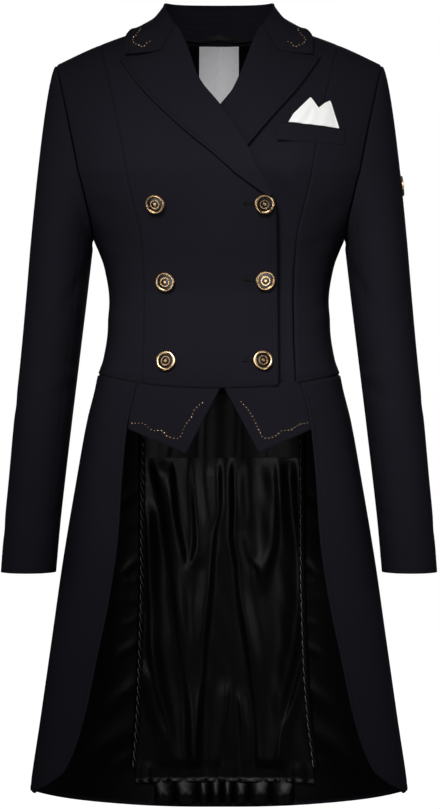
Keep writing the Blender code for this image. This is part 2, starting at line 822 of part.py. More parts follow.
def turned(name, profile, steps, kind, point, normal):
    """A turned piece: its profile of radius and height runs down the outside, and its axis is set."""
    mesh = bpy.data.meshes.new(name)
    places = [(radius / 1000, 0, height / 1000) for radius, height in profile]
    mesh.from_pydata(places, [(i, i + 1) for i in range(len(places) - 1)], [])
    made = add(name, mesh, kind)
    screw = made.modifiers.new("turn", "SCREW")
    screw.steps = screw.render_steps = steps
    screw.use_merge_vertices = True
    screw.merge_threshold = 0.00001
    facing = normal.to_track_quat("Z", "Y").to_matrix().to_4x4()
    made.matrix_world = Matrix.Translation(point / 1000) @ facing
    return made


def buttons():
    r = BUTTON_RADIUS
    profile = [(0, 4.6), (r * 0.26, 4.5), (r * 0.34, 3.7), (r * 0.66, 3.7), (r * 0.74, 4.6)]
    profile += [(r * 0.9, 4.6), (r, 3.7), (r, 2.4), (r * 0.85, 1.8), (1.8, 1.8), (1.8, 0), (0, 0)]
    for number, (x, z) in enumerate(BUTTON_PLACES, 1):
        base = on_front(-x, z, 0)
        normal = (on_front(-x, z, 1) - base).normalized()
        base.x, normal.x = -base.x, -normal.x
        turned(f"button_{number}", profile, 16, GOLD, base + normal * (SEAM + 0.1), normal)


def badge():
    r, thick = BADGE["radius"], BADGE["thick"]
    profile = [(0, thick * 0.7), (r * 0.78, thick * 0.7), (r * 0.82, thick), (r * 0.96, thick)]
    profile += [(r, thick * 0.75), (r, 0), (0, 0)]
    low, high = 0.0, 1.0
    for _ in range(30):
        middle = (low + high) / 2
        if sleeve_point(0, middle).z > BADGE["z"]:
            low = middle
        else:
            high = middle
    base = sleeve_wall(0, low, SEAM)
    normal = (sleeve_wall(0, low, 1) - sleeve_wall(0, low, 0)).normalized()
    turned("sleeve_badge", profile, 24, GOLD, base, normal)


def main():
    for old in list(bpy.data.objects):
        bpy.data.objects.remove(old)
    home = bpy.data.collections.new("dressage tailcoat")
    bpy.context.scene.collection.children.link(home)
    fronts()
    backs()
    sleeves()
    collar()
    lapels()
    skirts()
    vest_points()
    tail_lining()
    tail_cords()
    neck_inside()
    hanger_tape()
    pocket()
    buttons()
    badge()


main()
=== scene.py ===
"""A double-breasted dressage tailcoat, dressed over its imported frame.

Lengths in the tables and on the pattern's surfaces are in millimetres, and the studio and the
add-on's sizes are in metres. X runs to the wearer's left, Y to the back and Z up. Panels are drawn
for the wearer's left, where the side is 1, and a side of -1 mirrors them.
"""

import math

import bpy
import numpy as np
from bpy.props import FloatProperty, FloatVectorProperty, PointerProperty
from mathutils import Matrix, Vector


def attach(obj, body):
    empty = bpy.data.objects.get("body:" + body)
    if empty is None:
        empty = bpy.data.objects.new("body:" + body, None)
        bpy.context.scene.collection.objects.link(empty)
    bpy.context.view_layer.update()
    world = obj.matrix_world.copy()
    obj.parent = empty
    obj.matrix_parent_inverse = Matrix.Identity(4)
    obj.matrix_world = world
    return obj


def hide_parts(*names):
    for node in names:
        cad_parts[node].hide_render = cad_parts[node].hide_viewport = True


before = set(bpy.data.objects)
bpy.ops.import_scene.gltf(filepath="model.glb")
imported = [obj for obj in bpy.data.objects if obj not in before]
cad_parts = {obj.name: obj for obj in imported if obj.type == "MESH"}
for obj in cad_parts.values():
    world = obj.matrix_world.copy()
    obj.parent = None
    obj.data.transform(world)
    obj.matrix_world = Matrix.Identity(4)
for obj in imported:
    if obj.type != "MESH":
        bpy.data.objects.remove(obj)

bl_info = {
    "name": "Dressage tailcoat",
    "version": (1, 0, 0),
    "blender": (4, 5, 0),
    "location": "View3D > Sidebar > Tailcoat",
    "description": "Sews a double-breasted dressage tailcoat panel by panel",
    "category": "Add Mesh",
}

MM = 0.001
SIDES = ((-1, "right"), (1, "left"))

# ---------------------------------------------------------------- the pattern's tables

# thickness of the softshell and of the satin, opening of a seam, room between two layers
CLOTH = 1.8
LINING = 1.0
SEAM = 0.3
LAYER = 0.9
# least length of a sheet in metres, and least share of its length by its width that is cloth
LEAST_LENGTH = 0.01
LEAST_AREA = 0.31
# how far the left front sinks under the right one, and the slope by which it gets there: least
# width, what it widens by above the chest line, and where it starts from the opening edge
UNDER_DIP = 7.6
DIP_SLOPE = {"least": 28, "more": 42, "edge": 5}
# heights of the chest line, the armpit, the waist seam and the hem at the side
CHEST = -170.0
ARMPIT = -248.0
WAIST = -407.0
HEM_SIDE = -907.0
# how much lower the waist seam lies in front and behind, and the hem of the tail behind
FRONT_DROP = 17.0
BACK_DROP = 15.0
TAIL_DROP = 44.0
# each level's outline is an ellipse of this power
FULLNESS = 2.3
# distances from the middle, of the shoulder, the ends of the armhole and the neck
SHOULDER_WIDTH = 212.0
SHOULDER_POINT = 195.0
CHEST_ARM = 166.0
NECK_HALF = 75.0
# power and root of the lean from the chest line to the shoulder, in front and behind
CHEST_LEAN = (1.3, 0.55)
BACK_LEAN = (2.2, 0.5)
BUST = {"out": 9.0, "x": 72.0, "z": -165.0, "wide": 44.0, "high": 52.0}
# steps in degrees and in rows from which a normal is taken, and in degrees at a panel's edge
TURN_STEP = 0.3
ROW_STEP = 0.004
EDGE_STEP = 0.2
# how far a panel's edge is let in from its seam, and the fewest millimetres to a degree there
LET_IN = {"by": 0.05, "per_degree": 0.4}
# levels of the bodice up to the armpit, the chest line and the shoulder, and the powers that draw
# the first of them together at the hem and the last at the shoulder
LEVELS = {"counts": (62, 30, 46), "powers": (1.25, 1.3)}

# height, half width, depth in front, depth behind
SECTIONS = np.array([
    (-960, 230, 76, 183), (-907, 225, 78, 178), (-822, 213, 81, 168), (-726, 200, 84, 154),
    (-630, 187, 88, 140), (-534, 171, 92, 125), (-462, 158, 96, 111), (-426, 149, 98, 104),
    (-407, 145, 98, 101), (-390, 139, 96, 97), (-355, 133.5, 92, 90), (-316, 132, 91, 86),
    (-282, 137, 98, 90), (-248, 150, 109, 98), (-200, 176, 120, 104), (-170, 188, 123, 106),
], float)
# distance from the middle, height of the shoulder seam there
SHOULDER = np.array([
    (0, 38), (40, 24), (75, 9), (108, 0), (150, -15.5), (195, -36.5), (215, -46),
], float)
# height, distance from the middle of the front seam and of the back seam
PRINCESS = np.array([
    (-440, 92, 80), (-410, 91, 78), (-316, 89, 70), (-250, 92, 80), (-215, 99, 92),
    (-182, 107, 99), (-135, 115, 108), (-72, 128, 120), (-17, 141, 130), (20, 150, 136),
], float)
# height at which the back seam meets the shoulder seam
BLADE_TOP = -12
# height, distance of the opening edge past the middle of the left front, then of the right one
OPENING = np.array([
    (-440, -66, -69.5), (-300, -63.5, -68), (-215, -62, -66), (-198, -60, -62.5),
    (-168, -46, -44), (-138, -32, -29), (-95, -3, 0), (-64, 22, 24), (-40, 33, 34.5),
    (-15, 47, 48), (2, 66, 66.5), (9, 75, 75),
], float)
# height, distance from the middle of the swept edge of the skirt
SKIRT_EDGE = np.array([
    (-960, 226), (-906, 220), (-893, 200), (-875, 181), (-818, 160), (-743, 144), (-670, 129),
    (-600, 119), (-532, 114.5), (-474, 109), (-448, 104.5), (-422, 98), (-400, 94),
], float)
SKIRT_SIDE = 89.97
# height, centre across, centre front to back, half width, half depth
SLEEVE = np.array([
    (-643, 227.5, -16, 33, 46), (-582, 222.6, -13, 33.4, 48), (-534, 217.8, -10, 33.8, 50),
    (-462, 210.6, -5, 34.8, 53), (-390, 202.6, -1, 35.4, 56), (-318, 195, 0, 36.5, 60),
    (-258, 189, 0, 37.5, 63),
], float)
# the sleeve: heights of its first whole ring and its cuff, the ways in which it leaves the
# armhole and hangs, how stiffly it leaves, its seams in degrees round the arm, half their gap
SLEEVE_TOP = -258.0
CUFF = -643.0
SLEEVE_OUT = np.array((0.91, 0, -0.41)) / math.hypot(0.91, 0.41)
SLEEVE_DOWN = np.array((0.09, 0, -1)) / math.hypot(0.09, 1)
SLEEVE_REACH = 34.0
SLEEVE_SEAM = 132.0
SLEEVE_GAP = 0.16
# place on the half collar from the middle of the back, then x, y, z of the fold, of the middle
# of the fall and of its outer edge
COLLAR = np.array([
    (0.00, 0, 58, 43, 0, 69, 20, 0, 73, -7),
    (0.18, 29, 53, 42.5, 37, 62, 20, 42, 66, -5),
    (0.36, 52, 35, 41, 65, 44, 21, 76, 47, -3),
    (0.54, 64, 9, 39.5, 77, 14, 22, 98, 18, 4.5),
    (0.70, 64, -10, 33, 78, -9, 19, 103, -8, 4.5),
    (0.86, 58.5, -28, 20, 82, -34, 4, 111, -34, -8),
    (1.00, 52, -43, 7, 70, -61, -26, 111, -53, -29),
], float)
# along the half collar, where it passes the shoulder seam, height of its front end, and the
# row of the middle of the back at which it is sewn on
COLLAR_SHOULDER = 0.54
COLLAR_FRONT = -9.0
NECK_BACK_ROW = 0.817
# place up the lapel, then distance from the middle and height of the roll line and of the edge
LAPEL_RIGHT = np.array([
    (0.00, -60.5, -199, -58.5, -203), (0.20, -43, -169, -17.5, -173.5),
    (0.36, -28.5, -138, 8.2, -152.2), (0.52, 0.5, -95, 36.9, -128.9), (0.68, 24, -64, 63, -104),
    (0.84, 38.5, -27, 92.6, -71.6), (1.00, 50.5, -5, 116.5, -37.5),
], float)
LAPEL_LEFT = np.array([
    (0.00, -58.5, -197, -56.5, -200), (0.20, -44, -168, -14, -180), (0.36, -26, -138, 17, -158.5),
    (0.52, 4, -97, 40.8, -131.8), (0.68, 23.5, -63, 66, -104), (0.84, 38.5, -27, 93.8, -71),
    (1.00, 50, -5, 120, -32.5),
], float)
# share of a lapel's width, from its roll, that is sewn to the collar
GORGE_SHARE = 0.36
# across and height of the corners of the waistcoat points: middle, tip, outer foot, outer top
VEST_RIGHT = ((-1.2, -425), (38.9, -501), (107.5, -472.6), (103, -421.8))
VEST_LEFT = ((6.7, -425), (46.9, -500), (110.3, -472.6), (105.8, -423.4))
# how far they run up behind the hem, their least depth, how far they lie inside, their thickness
VEST = {"up": 2.5, "least": 4, "under": 0.5, "thick": 1.5}
# how far the skirt's top is let in under the bodice, and the height of its flutes
TUCK = 0.4
FLUTE = 1.1
WELT = {"x": (67.5, 148), "top": (-114, -121), "bottom": (-136, -141), "out": (1.0, -0.3)}
BADGE_HEIGHT = -181.0
# heights in the tail: the yoke, the band at the foot of the loose lining, the pleats
YOKE_TOP = -414.0
YOKE_FOOT = -508.0
BAND_TOP = -896.0
BAND_FOOT = -919.0
PLEAT_FOOT = -944.0
# height, distance from the middle of the wearer's right cord and of the left one
CORDS = np.array([
    (-960, 113, 129), (-896, 108.6, 123), (-830, 104, 115), (-760, 101, 110),
    (-650, 98, 106.5), (-476, 97.5, 105.5), (-400, 97, 105),
], float)
CORD_ENDS = (-476.0, -896.0)
# strands to a cord, how deep a cord lies under the lining, and a strand's distance from the
# middle of its cord and its radius, as shares of the cord's radius
STRANDS = 3
CORD_UNDER = 4.6
STRAND = (0.6, 0.49)
# across, where one soft pleat of the strip ends and the next begins, and how deep they are
PLEAT_EDGES = (-82.5, -56, -27, -11.5, 4, 18, 38, 65.5, 95.5)
PLEAT_DEPTH = 10.0
# how far the side linings reach under the strip at its right and its left end
TUCKED_UNDER = (24, 29)
# height, half width, then across and up along the ridge of each fold of the loose lining
FOLDS = (
    (7.5, 8.0, ((-80, -505), (-70, -560), (-62, -615), (-53, -678), (-45, -742), (-37, -798),
                (-35, -838), (-33, -905))),
    (4.5, 6.0, ((-64, -505), (-59, -572), (-52, -611), (-44, -645))),
    (5.5, 7.0, ((-33, -505), (-27, -568), (-25, -611), (-36, -650))),
    (7.0, 7.5, ((-6, -505), (-4, -568), (-9, -607), (-12, -647), (-17, -694), (-23, -742),
                (-26, -798), (-29, -838), (-32, -905))),
    (7.0, 7.0, ((20, -505), (20, -600), (26, -639), (30, -678), (36, -718), (42, -770),
                (48, -818), (53, -870), (55, -905))),
    (6.5, 7.5, ((67, -505), (68, -572), (66, -615), (56, -655))),
    (3.5, 6.0, ((32, -600), (41, -632), (52, -650))),
    (7.0, 7.5, ((89, -505), (94, -572), (97, -631), (99, -678), (97, -726), (91, -770),
                (81, -810), (75, -854), (70, -905))),
    (6.0, 6.0, ((-90, -560), (-88, -678), (-87, -734), (-80, -790), (-66, -838), (-56, -900))),
    (4.5, 5.5, ((-97, -760), (-82, -822), (-70, -862), (-67, -905))),
    (5.0, 5.5, ((108, -760), (96, -810), (84, -850), (78, -905))),
    (4.0, 6.0, ((7, -785), (6, -826), (1, -862), (-2, -905))),
    (3.5, 5.5, ((25, -795), (30, -846), (32, -905))),
)
YOKE_FOLDS = (
    (2.6, 7.0, ((-17, -410), (-17, -532))), (2.8, 7.0, ((20, -416), (20, -532))),
    (2.2, 8.0, ((62, -430), (66, -532))), (2.2, 8.0, ((-60, -430), (-72, -532))),
)
# gathers of the side linings: across and up at the cord, then at the far end, half width, depth
SIDE_GATHERS = (
    (100, -552, 128, -566, 5, 1.2), (101, -596, 124, -590, 4, 0.9), (100, -636, 122, -652, 4, 1.2),
    (102, -664, 118, -662, 3, 1.0), (103, -690, 124, -680, 3, 1.3), (103, -712, 120, -717, 3, 1.1),
    (104, -740, 126, -756, 5, 1.4), (104, -786, 140, -826, 9, 1.6), (112, -846, 176, -902, 15, 3.6),
    (108, -884, 150, -912, 10, 2.2),
)
# soft creases, across and up at both ends, half width, depth: negative sinks
FRONT_CREASES = (
    (118, -232, 150, -200, 9, -1.0), (100, -262, 146, -243, 8, -0.9),
    (96, -330, 134, -322, 9, -0.8), (98, -352, 136, -340, 7, 0.6), (26, -235, 60, -335, 13, -0.6),
    (58, -374, 110, -360, 8, -0.6), (152, -60, 165, -150, 10, -0.8),
    (-30, -330, 40, -345, 12, -0.5),
)
BACK_CREASES = (
    (60, -330, 132, -318, 9, -1.2), (50, -352, 134, -345, 7, 0.8), (30, -376, 130, -368, 8, -1.1),
    (10, -62, 120, -76, 14, -0.8), (112, -150, 160, -214, 10, -1.3), (70, -240, 146, -262, 9, -0.9),
    (6, -300, 50, -318, 9, -0.7),
)
# the same on the sleeves: millimetres round the arm from its outside to the front, and up
SLEEVE_CREASES = (
    (132, -400, 66, -378, 7, -1.7), (136, -418, 60, -442, 7, -1.5), (134, -408, 72, -408, 6, 1.2),
    (140, -268, 84, -332, 9, -1.6), (126, -520, 58, -498, 8, -1.1), (138, -560, 74, -600, 8, -1.1),
    (-60, -470, 20, -440, 10, -0.9), (-100, -392, -40, -408, 9, -1.2),
    (-90, -330, -20, -360, 10, -0.9), (20, -300, 70, -352, 12, -0.8),
    (-30, -580, 40, -600, 10, -0.7),
)
BUTTON_PLACES = [
    (-73.5, -210.2), (52.5, -210.5), (-62.3, -299.4), (53.6, -298), (-61.5, -392.9), (50.9, -392.1),
]
# share of the width and height of the folded linen above the welt, then its ends across, how far
# out it lies, its thickness and its folds
SQUARE = np.array([
    (0.0, 0.5), (0.09, 10.4), (0.22, 19), (0.42, 32), (0.44, 32.8), (0.46, 32), (0.53, 26.5),
    (0.6, 21.5), (0.72, 28), (0.82, 31.6), (0.84, 31), (0.9, 20), (1.0, 0.5),
])
SQUARE_X = (81, 139.8)
SQUARE_OUT = 2.0
SQUARE_THICK = 1.0
SQUARE_FOLDS = (
    (116, -92, 96, -122, 4.0, -1.0), (112, -92, 104, -122, 4, 0.9),
    (134, -96, 137, -124, 2.6, -0.6), (126, -94, 121, -124, 5, 0.8), (88, -122, 104, -96, 3, 0.6),
)
LABEL = {"half": 25.0, "top": -4.0, "foot": -96.0, "thick": 0.8}
NECK_LINING = {"half": 62.0, "top": -4.0, "foot": -118.0, "thick": LINING}
TAPE = {"half": 19.5, "low": 0.04, "high": 0.16, "thick": 1.2}
# room behind the neck's lining and behind the label
NECK_UNDER = 1.7
LABEL_UNDER = 0.7
# a button and the badge: radius as a share of the rim's, height, and what lies between that ring
# and the next, 0 gilt and 1 enamel. The button's heights are millimetres, the badge's are shares
BUTTON = (
    (0, 4.4, 0), (0.12, 4.35, 0), (0.17, 3.8, 1), (0.36, 3.7, 0), (0.4, 4.15, 0), (0.47, 4.15, 0),
    (0.5, 3.7, 1), (0.72, 3.6, 0), (0.75, 4.4, 0), (0.8, 4.75, 0), (0.88, 4.8, 0),
    (0.95, 4.55, 0), (1, 3.8, 0), (1, 2.4, 0), (0.85, 1.8, 0),
)
SHANK = ((1.8, 1.7, 0), (1.8, 0, 0), (0, 0, 0))
BADGE = (
    (0, 0.9, 0), (0.2, 0.9, 0), (0.24, 0.6, 1), (0.5, 0.6, 0), (0.54, 0.8, 0), (0.58, 0.6, 1),
    (0.8, 0.6, 0), (0.84, 1, 0), (0.95, 1, 0), (1, 0.7, 0), (1, 0, 0), (0, 0, 0),
)
# how far a button's shank starts from the cloth
BUTTON_SEAT = 0.4
BADGE_RADIUS = 12.5
BADGE_THICK = 1.6
# shares of the front edge and of a lapel's top where their rows of stitches end and start
FRONT_END = 0.62
TOP_START = 0.5
# distances of rows of stitches from their edges
WAIST_ROW = 5.5
FRONT_ROWS = (2.4, 7.0)
EDGE_ROW = 5.2
SKIRT_ROW = 5.0
HEM_ROW = 9.0
CUFF_ROW = 18.5
BAND_ROWS = (2.0, 22.0)
LABEL_ROW = 2.2
# depth and half width of what sinks: a seam, a turned edge, a row of stitches, a seam of the
# sleeves, an edge of the welt
SEAM_SINK = (1.3, 1.3)
EDGE_SINK = (0.8, 0.9)
ROW_SINK = (0.4, 0.9)
SLEEVE_SINK = (0.35, 1.6)
WELT_SINK = (1.3, 1.2)
# how far folded edges stand off what lies under them, and the half width of that
LIFTS = {"front": 1.8, "collar": 2.0, "lapel": 2.8}
LIFT_WIDE = 5.5
# a buttonhole: how far across its middle, half length and half width, and the ends of its slot
HOLE = {"x": 35.5, "long": 7.0, "wide": 0.8, "eye": 1.0, "slot": (41, 29.6, 31.2)}
# pitch and width in metres of the thread round a buttonhole and of its slot
HOLE_THREADS = {"rim": (0.0009, 0.0013), "slot": (0.0006, 0.0014)}
# a stitch's length as a share of its pitch, and from bead to bead in widths of a bead
STITCH_SHARE = 0.78
BEAD_STEP = 2.7
# across and up along the lines of beads
VEST_BEADS = (
    ((-103, -465.5), (-91, -465.5), (-76, -474.3), (-69, -473.5), (-61, -480.6), (-48, -483.3),
     (-44, -479), (-39.7, -468), (-31.7, -457.4), (-29, -450), (-19.3, -441.4)),
    ((108.5, -465), (96.8, -466.2), (82.3, -473.7), (75.8, -473.5), (66.5, -480.2),
     (54.8, -483.1), (51, -481), (46.7, -473.2), (40.8, -460.3), (35, -451), (25.7, -440.5)),
)
COLLAR_BEADS = (
    (93.5, 3.2), (94.7, 0.8), (97.7, -4.6), (102.2, -10.3), (100.4, -15.9), (95.9, -17.8),
    (89.2, -20.8), (85.4, -15.9), (81.7, -14.1),
)

# ---------------------------------------------------------------- the studio, in metres

# name, place, width and height, power in watts: all of them face LIGHT_AIM
SOFTBOXES = (
    ("fill", (0.0, -2.9, 0.6), (1.5, 1.4), 27),
    ("left softbox", (-2.4, -0.5, 0.2), (1.0, 2.0), 10),
    ("right softbox", (2.4, -0.5, 0.2), (1.0, 2.0), 11),
    ("low left strip", (-0.66, -1.3, -0.86), (0.22, 0.6), 3.0),
    ("low right strip", (0.66, -1.3, -0.86), (0.22, 0.6), 2.8),
    ("back", (0.4, 3.2, 0.9), (2.2, 1.8), 40),
)
LIGHT_AIM = (0, 0, -0.4)
KEY = {
    "place": (-0.6, -2.35, 1.2), "aim": (0.045, -0.1, -0.29), "power": 330, "cone": 15.2,
    "blend": 1.0, "radius": 0.22,
}
FLOOR = {"x": (-9, 9), "y": (-6, 12), "z": -1.02}
# strength of the white world for the camera and for all else
WORLD_LIGHT = (1.0, 0.04)
CAMERA = {"place": (0.0012, -3.5, -0.4434), "lens": 129.8, "sensor": 36}

# ---------------------------------------------------------------- the pattern's surfaces


def mix(start, end, f):
    """Between two values, from the start at 0 to the end at 1."""
    return start + (end - start) * f


def ease(f):
    f = np.clip(f, 0.0, 1.0)
    return f * f * (3 - 2 * f)


def hermite(start, leave, end, arrive, f):
    """A curve from one value to another that has given slopes at both."""
    first = start * (1 + 2 * f) * (1 - f) ** 2 + leave * f * (1 - f) ** 2
    return first + end * f * f * (3 - 2 * f) + arrive * f * f * (f - 1)


def smooth(rows, at, column=1):
    """Reads a column of a table at values of its first one, on a curve that never overshoots."""
    xs, ys = rows[:, 0], rows[:, column]
    steps = np.diff(xs)
    rises = np.diff(ys) / steps
    slopes = np.concatenate([rises[:1], np.zeros(len(xs) - 2), rises[-1:]])
    product = rises[:-1] * rises[1:]
    same = product > 0
    slopes[1:-1][same] = 2 * product[same] / (rises[:-1] + rises[1:])[same]
    at = np.clip(at, xs[0], xs[-1])
    i = np.minimum(np.searchsorted(xs, at, side="right") - 1, len(steps) - 1)
    f = (at - xs[i]) / steps[i]
    return hermite(ys[i], slopes[i] * steps[i], ys[i + 1], slopes[i + 1] * steps[i], f)


def smooths(rows, at, *columns):
    """Several columns of a table at once, along the last axis."""
    return np.stack([smooth(rows, at, column) for column in columns], -1)


def halved(low, high, short):
    """Closes in on the place before which a test holds."""
    for _ in range(30):
        middle = (low + high) / 2
        before = short(middle)
        low, high = np.where(before, middle, low), np.where(before, high, middle)
    return (low + high) / 2


def paired(a, b):
    return np.broadcast_arrays(np.asarray(a, float), np.asarray(b, float))


def xyz(x, y, z):
    return np.stack(np.broadcast_arrays(x, y, z), -1).astype(float)


def unit(vectors):
    return vectors / np.maximum(np.linalg.norm(vectors, axis=-1, keepdims=True), 1e-9)


def dot(a, b):
    return (a * b).sum(-1, keepdims=True)


def section(z, row):
    width, front, behind = (smooth(SECTIONS, z, column) for column in (1, 2, 3))
    return mix(width, SHOULDER_WIDTH, np.maximum(row, 0)), front, behind


def coat(angle, row, behind=False):
    """Points of the coat's outside: the angle is 0 in the middle and 90 at the side. A row of 0
    or less is so many millimetres below the chest line, and from 0 to 1 climbs to the shoulder."""
    angle, row = paired(angle, row)
    turn = np.radians(angle)
    width, front, back = section(CHEST + np.minimum(row, 0), row)
    x = np.sign(turn) * width * np.abs(np.sin(turn)) ** (2 / FULLNESS)
    power, root = BACK_LEAN if behind else CHEST_LEAN
    lean = (1 - np.clip(row, 0, 1) ** power) ** root
    y = (back if behind else front) * np.abs(np.cos(turn)) ** (2 / FULLNESS) * lean
    z = np.where(row <= 0, CHEST + row, mix(CHEST, smooth(SHOULDER, np.abs(x)), row))
    if behind:
        return xyz(x, y, z)
    across = (np.abs(x) - BUST["x"]) / BUST["wide"]
    up = (z - BUST["z"]) / BUST["high"]
    y = y + BUST["out"] * np.exp(-(across**2) - up**2) * np.abs(np.cos(turn)) * lean
    return xyz(x, -y, z)


def coat_normal(angle, row, behind=False):
    angle, row = paired(angle, row)
    inner = np.minimum(row, 0.99)
    above = np.where(inner < -1, inner + 1, np.maximum(inner, 0) + ROW_STEP)
    below = np.where(inner > ROW_STEP, inner - ROW_STEP, np.minimum(inner, 0) - 1)
    across = coat(angle + TURN_STEP, inner, behind) - coat(angle - TURN_STEP, inner, behind)
    sideways = xyz(0, np.sign(angle) * (-1 if behind else 1), 0)
    across = np.where((np.abs(angle) > 89.6)[..., None], sideways, across)
    rise = coat(angle, above, behind) - coat(angle, below, behind)
    normal = unit(np.cross(across, rise))
    outward = coat(angle, inner, behind) * (1, 1.5, 0) + xyz(0, 0, np.maximum(row, 0) * 60)
    return np.where(dot(normal, outward) > 0, normal, -normal)


def place(angle, row, behind=False, out=0.0):
    """Points so far out from the coat's outside."""
    out = np.asarray(out, float)
    return coat(angle, row, behind) + coat_normal(angle, row, behind) * out[..., None]


def angle_at(x, row):
    """The angle at which a level is so far from the middle."""
    width = section(CHEST + np.minimum(row, 0), row)[0]
    return np.sign(x) * np.degrees(np.arcsin(np.minimum(np.abs(x) / width, 1) ** (FULLNESS / 2)))


def row_at(x, z):
    z = np.asarray(z, float)
    return np.where(z <= CHEST, z - CHEST, (z - CHEST) / (smooth(SHOULDER, np.abs(x)) - CHEST))


def on_coat(x, z, out=0.0, behind=False):
    """Points at a distance from the middle and a height, so far out from the cloth."""
    row = row_at(x, z)
    return place(angle_at(x, row), row, behind, out)


def on_back(x, z, deep):
    """Points so deep under the outside of the back, at a distance from the middle and a height."""
    return on_coat(x, z, -CLOTH - deep, behind=True)


def hem_height(angle, behind):
    drop = BACK_DROP if behind else FRONT_DROP
    return WAIST - drop * np.cos(np.radians(angle)) ** 2


def quarter(f):
    """The sine of a share of a right angle."""
    return np.sin(np.radians(90 * f))


def by_level(level, low, middle, high):
    """Picks by a level of the bodice: 0 hem, 1 armpit, 2 chest line, 3 shoulder seam."""
    return np.where(level <= 1, low, np.where(level <= 2, middle, high))


def bodice_row(level, angle, behind):
    low = mix(hem_height(angle, behind), ARMPIT, level) - CHEST
    return by_level(level, low, (ARMPIT - CHEST) * quarter(2 - level), quarter(level - 2))


def armhole(level):
    """The angle of the side seam, then of the armhole, at a level of the bodice."""
    level = np.asarray(level, float)
    middle = mix(90, angle_at(CHEST_ARM, 0), quarter(level - 1))
    row = np.clip(quarter(level - 2), 0, 1)
    return by_level(level, 90.0, middle, angle_at(mix(CHEST_ARM, SHOULDER_POINT, row), row))


def seam_angle(line, level, behind):
    """The angles at which levels of the bodice cross a seam: a column of a table, or a name."""
    if line == "middle":
        return np.zeros(np.shape(level))
    if line == "armhole":
        return armhole(level)
    rows, column = line

    def short(angle):
        point = coat(angle, bodice_row(level, angle, behind), behind)
        return point[..., 0] < smooth(rows, point[..., 2], column)

    return halved(np.full(np.shape(level), -60.0), np.full(np.shape(level), 89.0), short)


def under_dip(x, z, extra=1.4):
    """How far the left front sinks where the right front lies over it."""
    slope = DIP_SLOPE["least"] + DIP_SLOPE["more"] * ease((z - CHEST + 20) / 50)
    past = x + smooth(OPENING, z, 2) - DIP_SLOPE["edge"]
    return (UNDER_DIP + extra) * (1 - ease(past / slope))


def neck_row(x):
    """The row at which the back ends at the neck."""
    return mix(NECK_BACK_ROW, 1, np.minimum(np.abs(x) / NECK_HALF, 1) ** 2)


def armhole_point(around):
    """Points of the armhole, from 0 at the shoulder through 180 under the arm, front first."""
    around = np.mod(around, 360)
    level = 3 - 2 * np.where(around > 180, 360 - around, around) / 180
    sides = [coat(armhole(level), bodice_row(level, 90, back), back) for back in (False, True)]
    return np.where((around > 180)[..., None], sides[1], sides[0])


def arm_ring(around, z):
    turn = np.radians(around)
    across, along, half, deep = (smooth(SLEEVE, z, column) for column in (1, 2, 3, 4))
    return xyz(across + half * np.cos(turn), along - deep * np.sin(turn), z)


def sleeve_point(around, down):
    """Points of the sleeve: down is 0 at the armhole, 1 at the top ring and 2 at the cuff."""
    around, down = paired(around, down)
    lower = arm_ring(around, mix(SLEEVE_TOP, CUFF, np.clip(down - 1, 0, 1)))
    run = unit(armhole_point(around + 1) - armhole_point(around - 1))
    leave = unit(SLEEVE_OUT - run * dot(run, SLEEVE_OUT))
    start = armhole_point(around) + leave * SEAM * 1.4
    end = arm_ring(around, np.full(around.shape, SLEEVE_TOP))
    chord = np.linalg.norm(end - start, axis=-1, keepdims=True)
    f = np.clip(down, 0, 1)[..., None]
    reach = leave * np.minimum(SLEEVE_REACH, chord)
    upper = hermite(start, reach, end, SLEEVE_DOWN * chord, f)
    return np.where((down >= 1)[..., None], lower, upper)


def sleeve_wall(around, down, out=0.0):
    """Points moved out of the sleeve, away from the middle of the arm."""
    around, down = paired(around, down)
    run = sleeve_point(around + 1, down) - sleeve_point(around - 1, down)
    ends = np.minimum(down + 0.01, 2), np.maximum(down - 0.01, 0)
    normal = unit(np.cross(run, sleeve_point(around, ends[0]) - sleeve_point(around, ends[1])))
    away = xyz(np.cos(np.radians(around)), -np.sin(np.radians(around)), 0.3)
    normal = np.where(dot(normal, away) < 0, -normal, normal)
    return sleeve_point(around, down) + normal * np.asarray(out, float)[..., None]


def neck_seam(along):
    """The foot of the collar's stand, on the panels that it is sewn to."""
    along = np.abs(along)
    x = NECK_HALF * along / COLLAR_SHOULDER
    row = neck_row(x)
    back = coat(angle_at(x, row), row, True)
    z = mix(OPENING[-1, 0], COLLAR_FRONT, (along - COLLAR_SHOULDER) / (1 - COLLAR_SHOULDER))
    front = on_coat(smooth(OPENING, z), z)
    point = np.where((along <= COLLAR_SHOULDER)[..., None], back, front)
    return point + xyz(-0.5 * np.minimum(along * 4, 1), -0.3, 0.7)


def collar_point(along, share):
    """Points of the collar: share 0 is its foot, 1 its fold, 2 mid fall and 3 its outer edge."""
    along, share = paired(along, share)
    line = [neck_seam(along)]
    line += [smooths(COLLAR, np.abs(along), k, k + 1, k + 2) for k in (1, 4, 7)]
    point = np.zeros(along.shape + (3,))
    for k in range(3):
        inside = (share >= k) & ((share <= k + 1) if k == 2 else (share < k + 1))
        at = mix(line[k], line[k + 1], (share - k)[..., None])
        point = np.where(inside[..., None], at, point)
    point[..., 0] = np.where(along < 0, -point[..., 0], point[..., 0])
    return point


def tail_drop(angle):
    """How much lower than at the side the hem of the tail hangs."""
    return TAIL_DROP * np.maximum(np.cos(np.radians(angle)), 0) ** 1.15


def skirt_edge(z, margin=0.0):
    return angle_at(smooth(SKIRT_EDGE, z) + margin, z - CHEST)


def tail_across(share, z, shy=0.0):
    """How far across the tail a share between its cords lies, 0 at the wearer's right one."""
    return mix(shy - smooth(CORDS, z, 1), smooth(CORDS, z, 2) - shy, share)


# ---------------------------------------------------------------- finishes


